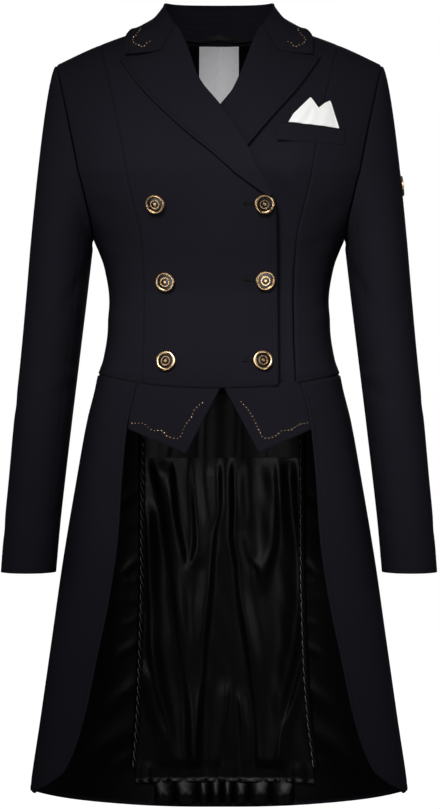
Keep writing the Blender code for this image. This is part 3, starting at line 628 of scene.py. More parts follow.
def colour(hexed):
    """An sRGB hex value as linear red, green and blue."""
    parts = [int(hexed[i : i + 2], 16) / 255 for i in (1, 3, 5)]
    return tuple(c / 12.92 if c <= 0.04045 else ((c + 0.055) / 1.055) ** 2.4 for c in parts)


def add(tree, kind, inputs=None, **settings):
    """Adds a node with its settings, and with values or links for its inputs."""
    made = tree.nodes.new(kind)
    for key, value in settings.items():
        setattr(made, key, value)
    for key, value in (inputs or {}).items():
        if isinstance(value, bpy.types.NodeSocket):
            tree.links.new(value, made.inputs[key])
        else:
            made.inputs[key].default_value = value
    return made


def grain(tree, scale, detail=2.0, run=1.0, kind="Noise"):
    """A pattern over Object coordinates, of so many marks to the metre, which runs on along Z
    where run is under 1."""
    at = add(tree, "ShaderNodeTexCoord").outputs["Object"]
    if run < 1:
        at = add(tree, "ShaderNodeMapping", {"Vector": at, "Scale": (1, 1, run)}).outputs[0]
    inputs = {"Vector": at, "Scale": scale, "Detail": detail}
    return add(tree, "ShaderNodeTex" + kind, inputs).outputs[0]


def material(name, tones, shade=None, relief=(), bump=(0.0, 0.0), rough=None, **values):
    """A new material and its tree and shader. It has one tone, or two with shade between them.
    Relief lists its raised textures, and bump their strength and depth. Shade also leads its
    roughness, where rough gives the ends of that."""
    made = bpy.data.materials.new(name)
    made.use_nodes = True
    tree = made.node_tree
    shader = tree.nodes["Principled BSDF"]
    tones = [(*tone, 1) for tone in tones]
    shader.inputs["Base Color"].default_value = tones[0]
    if shade:
        inputs = {"Factor": grain(tree, *shade), 6: tones[0], 7: tones[1]}
        tone = add(tree, "ShaderNodeMix", inputs, data_type="RGBA")
        tree.links.new(tone.outputs[2], shader.inputs["Base Color"])
    if relief:
        height = grain(tree, *relief[0])
        for more in relief[1:]:
            inputs = {0: height, 1: grain(tree, *more)}
            height = add(tree, "ShaderNodeMath", inputs, operation="ADD").outputs[0]
        inputs = {"Height": height, "Strength": bump[0], "Distance": bump[1]}
        tree.links.new(add(tree, "ShaderNodeBump", inputs).outputs[0], shader.inputs["Normal"])
    if rough:
        inputs = {"Value": grain(tree, *shade), "To Min": rough[0], "To Max": rough[1]}
        dull = add(tree, "ShaderNodeMapRange", inputs)
        tree.links.new(dull.outputs[0], shader.inputs["Roughness"])
    for key, value in values.items():
        shader.inputs[key.replace("_", " ")].default_value = value
    return made, tree, shader


# each finish: its material, its colours among the add-on's, and its patterns as marks to the
# metre, detail and run
FINISHES = {
    # Softshell: a warp-knit face of black polyester bonded to a membrane. It is matt, with a
    # soft sheen at a slant. Its stitches are drawn 0.7 mm apart, because real ones are too fine
    # to show. A nap of 4 mm lies over them, and clouds of 110 mm in the tone.
    "softshell": {
        "name": "softshell_bonded_knit", "tones": ("softshell_dark", "softshell"),
        "shade": (9.0, 3.0), "relief": ((260.0, 4.0), (1400.0, 0.0, 1, "Voronoi")),
        "bump": (0.25, 0.0004), "Roughness": 0.9, "Specular_IOR_Level": 0.03,
    },
    # Acetate lining satin: warp floats make it smooth and dark, with a long soft gloss. Its
    # threads are drawn 0.7 mm apart, because real ones are too fine to show, with 17 mm slubs.
    "satin": {
        "name": "acetate_lining_satin", "tones": ("satin",),
        "relief": ((1500.0, 2.0, 0.03), (60.0, 3.0)), "bump": (0.2, 0.0003),
        "Roughness": 0.33, "Specular_IOR_Level": 0.16,
    },
    # Twisted viscose cord: shiny filaments laid in strands, in bundles 1.1 mm apart.
    "cording": {
        "name": "viscose_cording", "tones": ("cording",), "relief": ((900.0, 3.0),),
        "bump": (0.35, 0.0003), "Roughness": 0.34, "Specular_IOR_Level": 0.4,
    },
    # Spun polyester sewing thread, a little brighter than the cloth where it catches light. Its
    # plies are drawn 0.4 mm apart, because real ones are too fine to show.
    "thread": {
        "name": "spun_polyester_thread", "tones": ("thread",), "relief": ((2500.0,),),
        "bump": (0.3, 0.0002), "Roughness": 0.7, "Specular_IOR_Level": 0.06,
    },
    # Gilt brass: plated and polished, a touch duller in patches 4 mm across.
    "gilt": {
        "name": "gilt_brass", "tones": ("gilt_dark", "gilt"), "shade": (240.0, 4.0),
        "rough": (0.18, 0.36), "Metallic": 1.0,
    },
    # Black enamel in the middle of the buttons, hard and glossy, with a flow of 3 mm.
    "enamel": {
        "name": "black_enamel", "tones": ("enamel",), "relief": ((300.0,),),
        "bump": (0.1, 0.0002), "Roughness": 0.22, "Specular_IOR_Level": 0.4,
    },
    # White lawn: a plain weave, matt. Its threads are drawn 0.6 mm apart, because real ones are
    # too fine to show.
    "linen": {
        "name": "white_lawn", "tones": ("linen",), "relief": ((1600.0, 2.0),),
        "bump": (0.25, 0.0003), "Roughness": 0.8, "Specular_IOR_Level": 0.2,
    },
    # Woven polyester label: a silver-grey satin with streaks 4 mm wide that run down it.
    "label_satin": {
        "name": "woven_label_satin", "tones": ("label_dark", "label"),
        "shade": (260.0, 3.0, 0.04), "relief": ((260.0, 3.0, 0.04),), "bump": (0.3, 0.0003),
        "Roughness": 0.4, "Specular_IOR_Level": 0.5,
    },
}
_finishes = {}


def finish(kind):
    """The material of a finish, made when it is first asked for."""
    if kind not in _finishes:
        look = bpy.context.scene.tailcoat_finish
        row = dict(FINISHES[kind])
        row["tones"] = [getattr(look, word) for word in row["tones"]]
        _finishes[kind] = material(**row)[0]
    return _finishes[kind]


def floor_finish():
    """Matt white studio paint, which shines for the camera alone."""
    tones = [colour("#464646"), colour("#494949")]
    values = {"Roughness": 0.9, "Specular_IOR_Level": 0.1, "Emission_Color": (1, 1, 1, 1)}
    made, tree, shader = material("white_studio_paint", tones, (3.0,), **values)
    rays = add(tree, "ShaderNodeLightPath").outputs["Is Camera Ray"]
    tree.links.new(rays, shader.inputs["Emission Strength"])
    return made


# ---------------------------------------------------------------- sewing


def placed(name, data):
    """A new object in the scene, at the origin."""
    made = bpy.data.objects.new(name, data)
    bpy.context.scene.collection.objects.link(made)
    return made


def join_frame(made, node=None):
    """Puts a finished piece on the body, in the place of its node."""
    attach(made, "root")
    if node:
        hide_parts(node)
    return made


def piece(name, points, faces, kinds, node, uv=None, face_kinds=None, smooth_over=50):
    """A finished piece from points in millimetres, which stands for its CAD node."""
    mesh = bpy.data.meshes.new(name)
    mesh.from_pydata((points * MM).tolist(), [], faces)
    for kind in kinds:
        mesh.materials.append(finish(kind))
    if face_kinds is not None:
        mesh.polygons.foreach_set("material_index", face_kinds)
    if uv is not None:
        layer = mesh.uv_layers.new(name="cloth")
        corners = np.empty(len(mesh.loops), np.int32)
        mesh.loops.foreach_get("vertex_index", corners)
        layer.data.foreach_set("uv", uv[corners].ravel())
    mesh.shade_smooth()
    mesh.set_sharp_from_angle(angle=math.radians(smooth_over))
    return join_frame(placed(name, mesh), node)


def lengths(grid, axis):
    return np.linalg.norm(np.diff(grid, axis=axis), axis=-1)


def from_edge(grid, edge):
    """How far each point is from an edge: low is the first row, first the first column."""
    upright, far_side = edge in ("low", "high"), edge in ("high", "last")
    lines = np.swapaxes(grid, 0, 1) if upright else grid
    lines = lines[:, ::-1] if far_side else lines
    far = np.concatenate([np.zeros((len(lines), 1)), np.cumsum(lengths(lines, 1), 1)], 1)
    far = far[:, ::-1] if far_side else far
    return far.T if upright else far


def rim(grid):
    """Walks once round a grid."""
    return np.concatenate([grid[0, :-1], grid[:-1, -1], grid[-1, :0:-1], grid[:0:-1, 0]])


_faces = {}


def cloth(name, outer, inner, kind, side=1, held="hung", rests_on=()):
    """A closed wall of cloth between two grids of points, which stands for the node of its name.
    Its flat size is the longest run of the cloth each way."""
    mirror = (side, 1, 1)
    _faces[name] = outer * mirror, unit(outer - inner) * mirror
    points = np.concatenate([outer.reshape(-1, 3), inner.reshape(-1, 3)]) * mirror
    number = np.arange(len(points)).reshape(2, *outer.shape[:2])
    corners = number[:, :-1, :-1], number[:, :-1, 1:], number[:, 1:, 1:], number[:, 1:, :-1]
    front, rear = np.stack(corners, -1).reshape(2, -1, 4)
    out, back = rim(number[0]), rim(number[1])
    ring = np.stack([out, back, np.roll(back, -1), np.roll(out, -1)], -1)
    faces = np.concatenate([front, rear[:, [0, 3, 2, 1]], ring])
    a, b, c, d = np.moveaxis(points[faces], 1, 0)
    if (a * (np.cross(b, c) + np.cross(c, d))).sum() < 0:
        faces = faces[:, ::-1]
    uv = np.stack([from_edge(outer, "first"), from_edge(outer, "low")], -1).reshape(-1, 2) * MM
    uv = np.concatenate([uv, uv])
    made = piece(name + "_cloth", points, faces.tolist(), [kind], name, uv)
    middle = (outer + inner) / 2
    a, b = middle[1:, 1:] - middle[:-1, :-1], middle[1:, :-1] - middle[:-1, 1:]
    area = np.linalg.norm(np.cross(a, b), axis=-1).sum() / 2 * MM * MM
    wide, long = (
        max(lengths(middle, axis).sum(axis).max() * MM, LEAST_LENGTH) for axis in (1, 0)
    )
    area = max(min(area, wide * long), LEAST_AREA * wide * long)
    return made


def spread(count, edge=0.6):
    """Shares from 0 to 1, closer together at both ends."""
    t = np.linspace(0, 1, count)
    return mix(t, 0.5 - 0.5 * np.cos(np.pi * t), edge)


def sunk_at(grid, marks):
    """How far the cloth sinks at its seams, rounded edges and rows of stitches."""
    total = np.zeros(grid.shape[:2])
    for edge, away, deep, wide in marks:
        total += deep * np.exp(-(((from_edge(grid, edge) - away) / wide) ** 2))
    return total


def seam(*edges, sink=SEAM_SINK):
    return [(edge, 0, *sink) for edge in edges]


def free(*edges):
    return seam(*edges, sink=EDGE_SINK)


def raised(edge, high):
    return [(edge, 0, -high, LIFT_WIDE)]


def row(edge, *places):
    return [(edge, away, *ROW_SINK) for away in places]


def line_inside(name, edge, away, out=0.1, start=0.0, end=1.0):
    """The line that runs along an edge of a finished cloth, so far inside it."""
    grid, normal = _faces[name]
    far = from_edge(grid, edge)
    if edge in ("low", "high"):
        grid, normal, far = np.swapaxes(grid, 0, 1), np.swapaxes(normal, 0, 1), far.T
    line = []
    for points, ways, along in zip(grid, normal, far):
        order = np.argsort(along)
        at = (points + ways * out)[order]
        line.append([np.interp(away, along[order], at[:, k]) for k in range(3)])
    return np.array(line)[int(start * len(line)) : max(int(end * len(line)), 2)]


def creased(across, up, table):
    """How far soft creases lift the cloth."""
    total = np.zeros(np.broadcast(across, up).shape)
    for x0, z0, x1, z1, wide, deep in table:
        run = x1 - x0, z1 - z0
        long = math.hypot(*run)
        f = ((across - x0) * run[0] + (up - z0) * run[1]) / long**2
        off = ((up - z0) * run[0] - (across - x0) * run[1]) / long
        off = off - 0.25 * wide * np.sin(6 * f + x0)
        total += deep * np.exp(-((off / wide) ** 2) - (2 * f - 1) ** 4)
    return total


def ridged(across, up, table):
    """How far folds stand up whose ridges run along given lines: each is broad and low, leans a
    little, wanders and fades at both ends."""
    total = np.zeros(np.broadcast(across, up).shape)
    for k, (high, wide, ridge) in enumerate(table):
        ridge = np.array(ridge[::-1], float)[:, ::-1]
        fade = ease((up - ridge[0, 0] + 34) / 56) * ease((ridge[-1, 0] - up + 4) / 30)
        off = (across - smooth(ridge, up) - 1.2 * np.sin(up / 37 + k)) / (1.25 * wide)
        off = off / (1 + 0.32 * np.tanh(2 * off * (-1) ** k))
        total += 0.6 * high * (1 + 0.2 * np.sin(up / 29 + 2 * k)) * fade * np.exp(-(off**2))
    return total


# ---------------------------------------------------------------- Geometry Nodes


def tree_of(name, sockets):
    """A new tree with named inputs, and those inputs' identifiers and sockets."""
    tree = bpy.data.node_groups.new(name, "GeometryNodeTree")
    tree.interface.new_socket("Geometry", in_out="INPUT", socket_type="NodeSocketGeometry")
    ids = {}
    for label, (kind, value) in sockets.items():
        kind = "NodeSocket" + kind
        socket = tree.interface.new_socket(label, in_out="INPUT", socket_type=kind)
        if value is not None:
            socket.default_value = value
        ids[label] = socket.identifier
    tree.interface.new_socket("Geometry", in_out="OUTPUT", socket_type="NodeSocketGeometry")
    return tree, ids, tree.nodes.new("NodeGroupInput").outputs


def end_tree(tree, geometry, given):
    soft = add(tree, "GeometryNodeSetShadeSmooth", {"Geometry": geometry})
    whole = add(tree, "GeometryNodeRealizeInstances", {"Geometry": soft.outputs[0]})
    inputs = {"Geometry": whole.outputs[0], "Material": given["Material"]}
    painted = add(tree, "GeometryNodeSetMaterial", inputs)
    tree.links.new(painted.outputs[0], tree.nodes.new("NodeGroupOutput").inputs[0])


def bead_tree():
    """Little rounded things, stitches or beads, set along lines at an even pitch."""
    tree, ids, given = tree_of("set_along_a_line", {
        "Pitch": ("Float", 0.003), "Width": ("Float", 0.0006), "Length": ("Float", 0.0022),
        "Detail": ("Int", 1), "Material": ("Material", None),
    })
    line = add(tree, "GeometryNodeMeshToCurve", {"Mesh": given["Geometry"]})
    inputs = {"Curve": line.outputs[0], "Length": given["Pitch"]}
    spots = add(tree, "GeometryNodeCurveToPoints", inputs, mode="LENGTH").outputs
    inputs = {"Radius": 0.5, "Subdivisions": given["Detail"]}
    ball = add(tree, "GeometryNodeMeshIcoSphere", inputs)
    inputs = {0: given["Width"], 1: given["Width"], 2: given["Length"]}
    size = add(tree, "ShaderNodeCombineXYZ", inputs)
    beaded = add(tree, "GeometryNodeInstanceOnPoints", {
        "Points": spots["Points"], "Instance": ball.outputs[0], "Rotation": spots["Rotation"],
        "Scale": size.outputs[0],
    })
    end_tree(tree, beaded.outputs[0], given)
    return tree, ids


def cord_tree():
    """Strands twisted about a line."""
    tree, ids, given = tree_of("twist_about_a_line", {
        "Radius": ("Float", 0.0025), "Pitch": ("Float", 0.0108), "Step": ("Float", 0.0008),
        "Material": ("Material", None),
    })
    line = add(tree, "GeometryNodeMeshToCurve", {"Mesh": given["Geometry"]})
    inputs = {"Curve": line.outputs[0], "Length": given["Step"]}
    fine = add(tree, "GeometryNodeResampleCurve", inputs, mode="LENGTH")
    along = add(tree, "GeometryNodeSplineParameter").outputs["Length"]
    turns = add(tree, "ShaderNodeMath", {0: along, 1: given["Pitch"]}, operation="DIVIDE")
    off, thick = (
        add(tree, "ShaderNodeMath", {0: given["Radius"], 1: share}, operation="MULTIPLY").outputs[0]
        for share in STRAND
    )
    ring = add(tree, "GeometryNodeCurvePrimitiveCircle", {"Radius": thick, "Resolution": 8})
    joined = tree.nodes.new("GeometryNodeJoinGeometry")
    for k in range(STRANDS):
        inputs = {0: turns.outputs[0], 1: math.tau, 2: k * math.tau / STRANDS}
        lay = add(tree, "ShaderNodeMath", inputs, operation="MULTIPLY_ADD").outputs[0]
        across, up = (
            add(tree, "ShaderNodeMath", {0: lay}, operation=wave).outputs[0]
            for wave in ("COSINE", "SINE")
        )
        arm = add(tree, "ShaderNodeCombineXYZ", {0: across, 1: up})
        inputs = {0: arm.outputs[0], "Scale": off}
        shift = add(tree, "ShaderNodeVectorMath", inputs, operation="SCALE")
        inputs = {"Geometry": fine.outputs[0], "Offset": shift.outputs[0]}
        moved = add(tree, "GeometryNodeSetPosition", inputs)
        inputs = {"Curve": moved.outputs[0], "Profile Curve": ring.outputs[0], "Fill Caps": True}
        strand = add(tree, "GeometryNodeCurveToMesh", inputs)
        tree.links.new(strand.outputs[0], joined.inputs[0])
    end_tree(tree, joined.outputs[0], given)
    return tree, ids


_trees = {}


def grown(name, lines, make_tree, kind, node=None, **values):
    """Runs a tree over lines of points in millimetres, and keeps the plain mesh that it makes."""
    if make_tree not in _trees:
        _trees[make_tree] = make_tree()
    tree, ids = _trees[make_tree]
    points, edges = [], []
    for line in lines:
        start = len(points)
        points += (np.asarray(line) * MM).tolist()
        edges += [(i, i + 1) for i in range(start, len(points) - 1)]
    mesh = bpy.data.meshes.new(name + "_lines")
    mesh.from_pydata(points, edges, [])
    guide = placed(name + "_lines", mesh)
    modifier = guide.modifiers.new("grow", "NODES")
    modifier.node_group = tree
    modifier[ids["Material"]] = finish(kind)
    for label, value in values.items():
        modifier[ids[label]] = value
    graph = bpy.context.evaluated_depsgraph_get()
    result = bpy.data.meshes.new_from_object(guide.evaluated_get(graph))
    result.name = name
    guide.modifiers.remove(modifier)
    bpy.data.objects.remove(guide)
    bpy.data.meshes.remove(mesh)
    if not result.polygons:
        raise RuntimeError(f"{name}: nothing grew along its lines")
    return join_frame(placed(name, result), node)


def beaded(name, lines, kind, pitch, width, length=None, detail=1):
    sizes = {"Pitch": pitch, "Width": width, "Length": length or width, "Detail": detail}
    return grown(name, lines, bead_tree, kind, **sizes)


def stitches(name, lines):
    sizes = bpy.context.scene.tailcoat_sizes
    pitch = sizes.stitch_pitch
    return beaded(name, lines, "thread", pitch, sizes.thread_width, pitch * STITCH_SHARE)


def beads(name, lines):
    size = bpy.context.scene.tailcoat_sizes.bead_size
    return beaded(name, lines, "gilt", size * BEAD_STEP, size, detail=2)


def drawn(corners, step=2.0):
    """A smooth line through corners, in steps of so many millimetres."""
    corners = np.array(corners, float)
    far = np.concatenate([[0], np.cumsum(lengths(corners, 0))])
    at = np.linspace(0, far[-1], max(int(far[-1] / step), 4))
    return smooths(np.column_stack([far, corners]), at, 1, 2)


# ---------------------------------------------------------------- the add-on


def size(label, default, low, high, text):
    return FloatProperty(
        name=label, description=text, default=default, min=low, max=high, subtype="DISTANCE",
        unit="LENGTH",
    )


def swatch(label, hexed, text):
    return FloatVectorProperty(
        name=label, description=text, default=colour(hexed), min=0, max=1, size=3,
        subtype="COLOR",
    )


class TailcoatSizes(bpy.types.PropertyGroup):
    """Sizes of the trimmings"""

    button_radius: size("Button radius", 0.0116, 0.006, 0.02, "Radius of a button's rim")
    bead_size: size("Bead size", 0.0016, 0.0008, 0.004, "Diameter of the small gilt beads")
    stitch_pitch: size("Stitch pitch", 0.0028, 0.001, 0.008, "From one stitch to the next")
    thread_width: size("Thread width", 0.0006, 0.0002, 0.002, "Width of the sewing thread")
    cord_radius: size("Cord radius", 0.0037, 0.001, 0.005, "Radius of the cord in the tail")
    cord_pitch: size("Cord twist", 0.0118, 0.004, 0.03, "From strand to strand along the cord")


class TailcoatFinish(bpy.types.PropertyGroup):
    """Colours of the cloths and metals"""

    softshell: swatch("Softshell", "#1b1a20", "Lighter tone of the black softshell")
    softshell_dark: swatch("Softshell, dark", "#17161c", "Darker tone of the black softshell")
    satin: swatch("Satin", "#060607", "Lining satin")
    cording: swatch("Cording", "#0b0b0d", "Twisted cord")
    thread: swatch("Thread", "#111015", "Sewing thread")
    gilt: swatch("Gilt", "#f2d6ac", "Gilt metal")
    gilt_dark: swatch("Gilt, dull", "#c08f55", "Gilt metal where it is duller")
    enamel: swatch("Enamel", "#0b0b0e", "Middle of the buttons")
    linen: swatch("Linen", "#ebebe9", "Pocket square")
    label: swatch("Label", "#fbfafd", "Lighter streaks of the label")
    label_dark: swatch("Label, dark", "#e9e8ed", "Darker streaks of the label")


def lamp(kind, name, spot, aim, power, **shape):
    """A light in the studio that faces a place."""
    data = bpy.data.lights.new(name, kind)
    data.energy = power
    for key, value in shape.items():
        setattr(data, key, value)
    light = placed(name, data)
    light.location = spot
    light.rotation_euler = (Vector(aim) - Vector(spot)).to_track_quat("-Z", "Y").to_euler()


class TAILCOAT_OT_stage(bpy.types.Operator):
    """Sets the floor, the soft light and the camera"""

    bl_idname = "tailcoat.stage"
    bl_label = "Stage"

    def execute(self, context):
        scene = context.scene
        scene.view_settings.view_transform = "Standard"
        mesh = bpy.data.meshes.new("studio_floor")
        (left, right), (near, far), z = FLOOR["x"], FLOOR["y"], FLOOR["z"]
        corners = [(left, near, z), (right, near, z), (right, far, z), (left, far, z)]
        mesh.from_pydata(corners, [], [(0, 1, 2, 3)])
        mesh.materials.append(floor_finish())
        placed("studio_floor", mesh)
        world = bpy.data.worlds.new("studio_white")
        world.use_nodes = True
        scene.world = world
        tree = world.node_tree
        ground = tree.nodes["Background"]
        ground.inputs["Color"].default_value = (1, 1, 1, 1)
        rays = add(tree, "ShaderNodeLightPath").outputs["Is Camera Ray"]
        seen, cast = WORLD_LIGHT
        strength = add(tree, "ShaderNodeMapRange", {"Value": rays, "To Min": cast, "To Max": seen})
        tree.links.new(strength.outputs[0], ground.inputs["Strength"])
        for name, spot, (wide, high), power in SOFTBOXES:
            shape = {"shape": "RECTANGLE", "size": wide, "size_y": high}
            lamp("AREA", name, spot, LIGHT_AIM, power, **shape)
        cone = math.radians(KEY["cone"])
        shape = {"spot_size": cone, "spot_blend": KEY["blend"], "shadow_soft_size": KEY["radius"]}
        lamp("SPOT", "key", KEY["place"], KEY["aim"], KEY["power"], **shape)
        data = bpy.data.cameras.new("camera")
        data.sensor_fit = "AUTO"
        data.sensor_width = CAMERA["sensor"]
        data.lens = CAMERA["lens"]
        scene.camera = placed("camera", data)
        scene.camera.location = CAMERA["place"]
        scene.camera.rotation_euler = (math.pi / 2, 0, 0)
        return {"FINISHED"}


def levels():
    """Levels of the bodice from its hem to the shoulder seam, closer where it bends more."""
    counts, powers = LEVELS["counts"], LEVELS["powers"]
    low = np.linspace(0, 1, counts[0]) ** powers[0]
    high = 3 - (1 - np.linspace(0, 1, counts[2])[1:]) ** powers[1]
    return np.concatenate([low, np.linspace(1, 2, counts[1])[1:], high])


def let_in(angle, toward, row, behind):
    """An edge of a panel, moved a hair's breadth away from the seam line."""
    step = coat(angle + EDGE_STEP, row, behind) - coat(angle - EDGE_STEP, row, behind)
    per_degree = np.linalg.norm(step, axis=-1) / (2 * EDGE_STEP)
    return angle + toward * LET_IN["by"] / np.maximum(per_degree, LET_IN["per_degree"])


def bodice_panel(name, side, start, end, columns, marks, behind=False, dip=None, top=None):
    """A panel between two seams. Dip sinks it, and top says where its upper edge ends."""
    level = levels()
    first, last = (seam_angle(line, level, behind) for line in (start, end))
    rows = bodice_row(level, first, behind)
    first, last = let_in(first, 1, rows, behind), let_in(last, -1, rows, behind)
    share = spread(columns)[None, :]
    angle = mix(first[:, None], last[:, None], share)
    rows = bodice_row(level[:, None], angle, behind)
    if top:
        rows = np.where(rows > 0, rows * top(share), rows)
    point, normal = coat(angle, rows, behind), coat_normal(angle, rows, behind)
    x, z = point[..., 0], point[..., 2]
    sunk = sunk_at(point, [*marks, *seam("low"), *row("low", WAIST_ROW)])
    if dip:
        sunk = sunk + dip(x, z)
    sunk = sunk - creased(x, z, BACK_CREASES if behind else FRONT_CREASES)
    point = point - normal * sunk[..., None]
    point[-1, :, 1] += SEAM / 2 if behind else -SEAM / 2
    return cloth(name, point, point - normal * CLOTH, "softshell", side)


class TAILCOAT_OT_bodice(bpy.types.Operator):
    """Sews the fronts, side fronts, backs and side backs"""

    bl_idname = "tailcoat.bodice"
    bl_label = "Bodice"

    def execute(self, context):
        opening, lapped, bust, blade = (OPENING, 1), (OPENING, 2), (PRINCESS, 1), (PRINCESS, 2)
        neck = angle_at(NECK_HALF, 1) / angle_at(smooth(PRINCESS, BLADE_TOP, 2), 1)

        def top(share):
            return neck_row(NECK_HALF * share / neck)

        both = seam("first", "last")
        edge = [*free("first"), *raised("first", LIFTS["front"]), *row("first", *FRONT_ROWS)]
        bodice_panel("front_right", -1, lapped, bust, 84, [*edge, *seam("last")])
        bodice_panel("front_left", 1, opening, bust, 64, seam("last"), dip=under_dip)
        for side, word in SIDES:
            bodice_panel(f"side_front_{word}", side, bust, "armhole", 34, both)
            bodice_panel(f"back_{word}", side, "middle", blade, 40, both, True, top=top)
            bodice_panel(f"side_back_{word}", side, blade, "armhole", 34, both, True)
        return {"FINISHED"}


class TAILCOAT_OT_sleeves(bpy.types.Operator):
    """Sews the two-piece sleeves"""

    bl_idname = "tailcoat.sleeves"
    bl_label = "Sleeves"

    def execute(self, context):
        down = np.concatenate([np.linspace(0, 1, 36), np.linspace(1, 2, 76)[1:]])[:, None]
        first, last = SLEEVE_SEAM - SLEEVE_GAP, SLEEVE_SEAM + SLEEVE_GAP
        spans = {
            "top": mix(-first, first, spread(78, 0.3)),
            "under": mix(last, 360 - last, spread(40, 0.5)),
        }
        marks = [*seam("first", "last", sink=SLEEVE_SINK), *seam("low"), *row("high", CUFF_ROW)]
        for side, word in SIDES:
            for part, around in spans.items():
                around = around[None, :]
                point = sleeve_point(around, down)
                round_arm = 0.8 * (np.mod(around + 180, 360) - 180)
                rise = creased(round_arm, point[..., 2], SLEEVE_CREASES) - sunk_at(point, marks)
                faces = [sleeve_wall(around, down, rise - t) for t in (0, CLOTH)]
                cloth(f"sleeve_{part}_{word}", *faces, "softshell", side)
        return {"FINISHED"}


def grid_normal(grid):
    return unit(np.cross(np.gradient(grid, axis=1), np.gradient(grid, axis=0)))


def collar_faces():
    """Both faces of the collar: its corners are rounded off save for the crisp fold, and the
    inside of its stand is quilted in ribs."""
    along = np.linspace(-1, 1, 130)[:, None]
    share = np.concatenate([np.linspace(0, 1, 26), np.linspace(1, 3, 52)[1:]])[None, :]
    sharp = collar_point(along, share)
    grid = sharp.copy()
    for _ in range(10):
        grid[:, 1:-1] = grid[:, :-2] / 4 + grid[:, 1:-1] / 2 + grid[:, 2:] / 4
    fold = (sharp - grid)[:, 25:26]
    grid = grid + fold * np.exp(-(((share - 1) / 0.3) ** 2))[..., None]
    normal = grid_normal(grid)
    ribs = 0.32 * np.sin(share * math.tau * 6)
    ribs = ribs * ease((0.85 - share) / 0.2) * ease((0.55 - np.abs(along)) / 0.1)
    marks = [*free("last"), *raised("last", LIFTS["collar"]), *row("last", EDGE_ROW)]
    sunk = sunk_at(grid, marks) - ribs
    return grid + normal * sunk[..., None], grid + normal * CLOTH


def lapel(dip, table, gorge):
    """The face of a lapel, rolled over the opening edge of its front and let up to the collar."""
    up = np.concatenate([np.linspace(0, 0.9, 80), np.linspace(0.9, 1, 20)[1:]])[:, None]
    roll, edge = smooths(table, up, 1, 2), smooths(table, up, 3, 4)
    middle = mix(roll, edge, GORGE_SHARE)
    share = spread(60, 0.5)[None, :, None]
    first, second = np.clip(share / 0.4, 0, 1), np.clip((share - 0.4) / 0.6, 0, 1)
    flat = np.where(share < 0.4, mix(roll, middle, first), mix(middle, edge, second))
    turn = np.radians(np.linspace(-90, 90, 13))[:-1]
    half = CLOTH + LAYER / 2
    lip = unit(edge - roll) * half * ease(up * 12)[..., None]
    bend = roll - lip * np.cos(turn)[None, :, None]
    out = np.concatenate([LAYER / 2 + half * np.sin(turn), np.full(share.size, LAYER + CLOTH)])
    at = np.concatenate([bend, flat], 1)
    x, z = at[..., 0], at[..., 1]
    face = on_coat(x, z, out[None, :] - (dip(x, z, 0) if dip else 0.0))
    seam_side = mix(gorge[0], gorge[1], first[0]) + (0, 0.5, 0.6)
    top = np.where(share[0] < 0.4, seam_side, mix(seam_side, face[-1, -1], second[0]))
    bent = top[:1] + face[-1, : turn.size] - face[-1, turn.size]
    lift = ease((up - 0.62) / 0.38)[..., None] ** 1.4
    return face + (np.concatenate([bent, top]) - face[-1])[None] * lift


class TAILCOAT_OT_collar(bpy.types.Operator):
    """Folds the collar and the peaked lapels"""

    bl_idname = "tailcoat.collar"
    bl_label = "Collar and lapels"

    def execute(self, context):
        cloth("collar", *collar_faces(), "softshell", held="folded")
        gorge = collar_point(1.0, np.array([1.0, 2.0]))
        marks = [*free("last", "high"), *raised("last", LIFTS["lapel"])]
        marks += [*row("last", EDGE_ROW), *row("high", EDGE_ROW)]
        for (side, word), dip, table in zip(SIDES, (None, under_dip), (LAPEL_RIGHT, LAPEL_LEFT)):
            outer = lapel(dip, table, gorge)
            normal = grid_normal(outer)
            normal = np.where(normal[-1:, -1:, 1:2] > 0, -normal, normal)
            faces = outer - normal * sunk_at(outer, marks)[..., None], outer - normal * CLOTH
            under = [f"front_{word}"]
            cloth(f"lapel_{word}", *faces, "softshell", side, "folded", under)
        return {"FINISHED"}


def skirt_faces(columns, behind, marks):
    """Both faces of a skirt panel, whose top is let in under the hem of the bodice."""
    f = np.concatenate([[-0.012, -0.008, -0.004], np.linspace(0, 1, 130) ** 1.1])[:, None]
    share = spread(columns, 0.5)[None, :]
    z = np.broadcast_to(mix(WAIST, HEM_SIDE, f), (len(f), columns))
    for _ in range(3):
        angle = mix(0 * z if behind else skirt_edge(z), SKIRT_SIDE, share)
        foot = HEM_SIDE - (tail_drop(angle) if behind else 0)
        head = hem_height(angle, behind)
        z = mix(head, foot, f)
    tuck = (CLOTH + TUCK) * ease((z - head + 1.6) / 1.8)
    wave = 1 + np.sin(angle / 8.5 + f * 1.3 + (2 if behind else 0))
    flute = FLUTE * ease((f - 0.2) / 0.8) * wave - tuck
    point, normal = coat(angle, z - CHEST, behind), coat_normal(angle, z - CHEST, behind)
    outs = flute - sunk_at(point, marks), flute - CLOTH
    return [point + normal * out[..., None] for out in outs]


def vest_faces(corners):
    """Both faces of a waistcoat point, which hangs from the inside of the bodice's hem."""
    share = spread(70, 0.4)
    f = spread(40, 0.5)[:, None]
    inner, tip, outer, top = corners
    x_top = mix(inner[0], top[0], share)
    z_top = hem_height(angle_at(x_top, WAIST - CHEST), False) + VEST["up"]
    x_foot, z_foot = (
        np.interp(share, (0, 0.4, 1), (inner[k], tip[k], outer[k])) for k in (0, 1)
    )
    x, z = mix(x_top, x_foot, f), mix(z_top, np.minimum(z_foot, z_top - VEST["least"]), f)
    out = -CLOTH - VEST["under"] + 0 * x
    sunk = sunk_at(on_coat(x, z, out), free("high", "first"))
    return on_coat(x, z, out - sunk), on_coat(x, z, out - VEST["thick"])


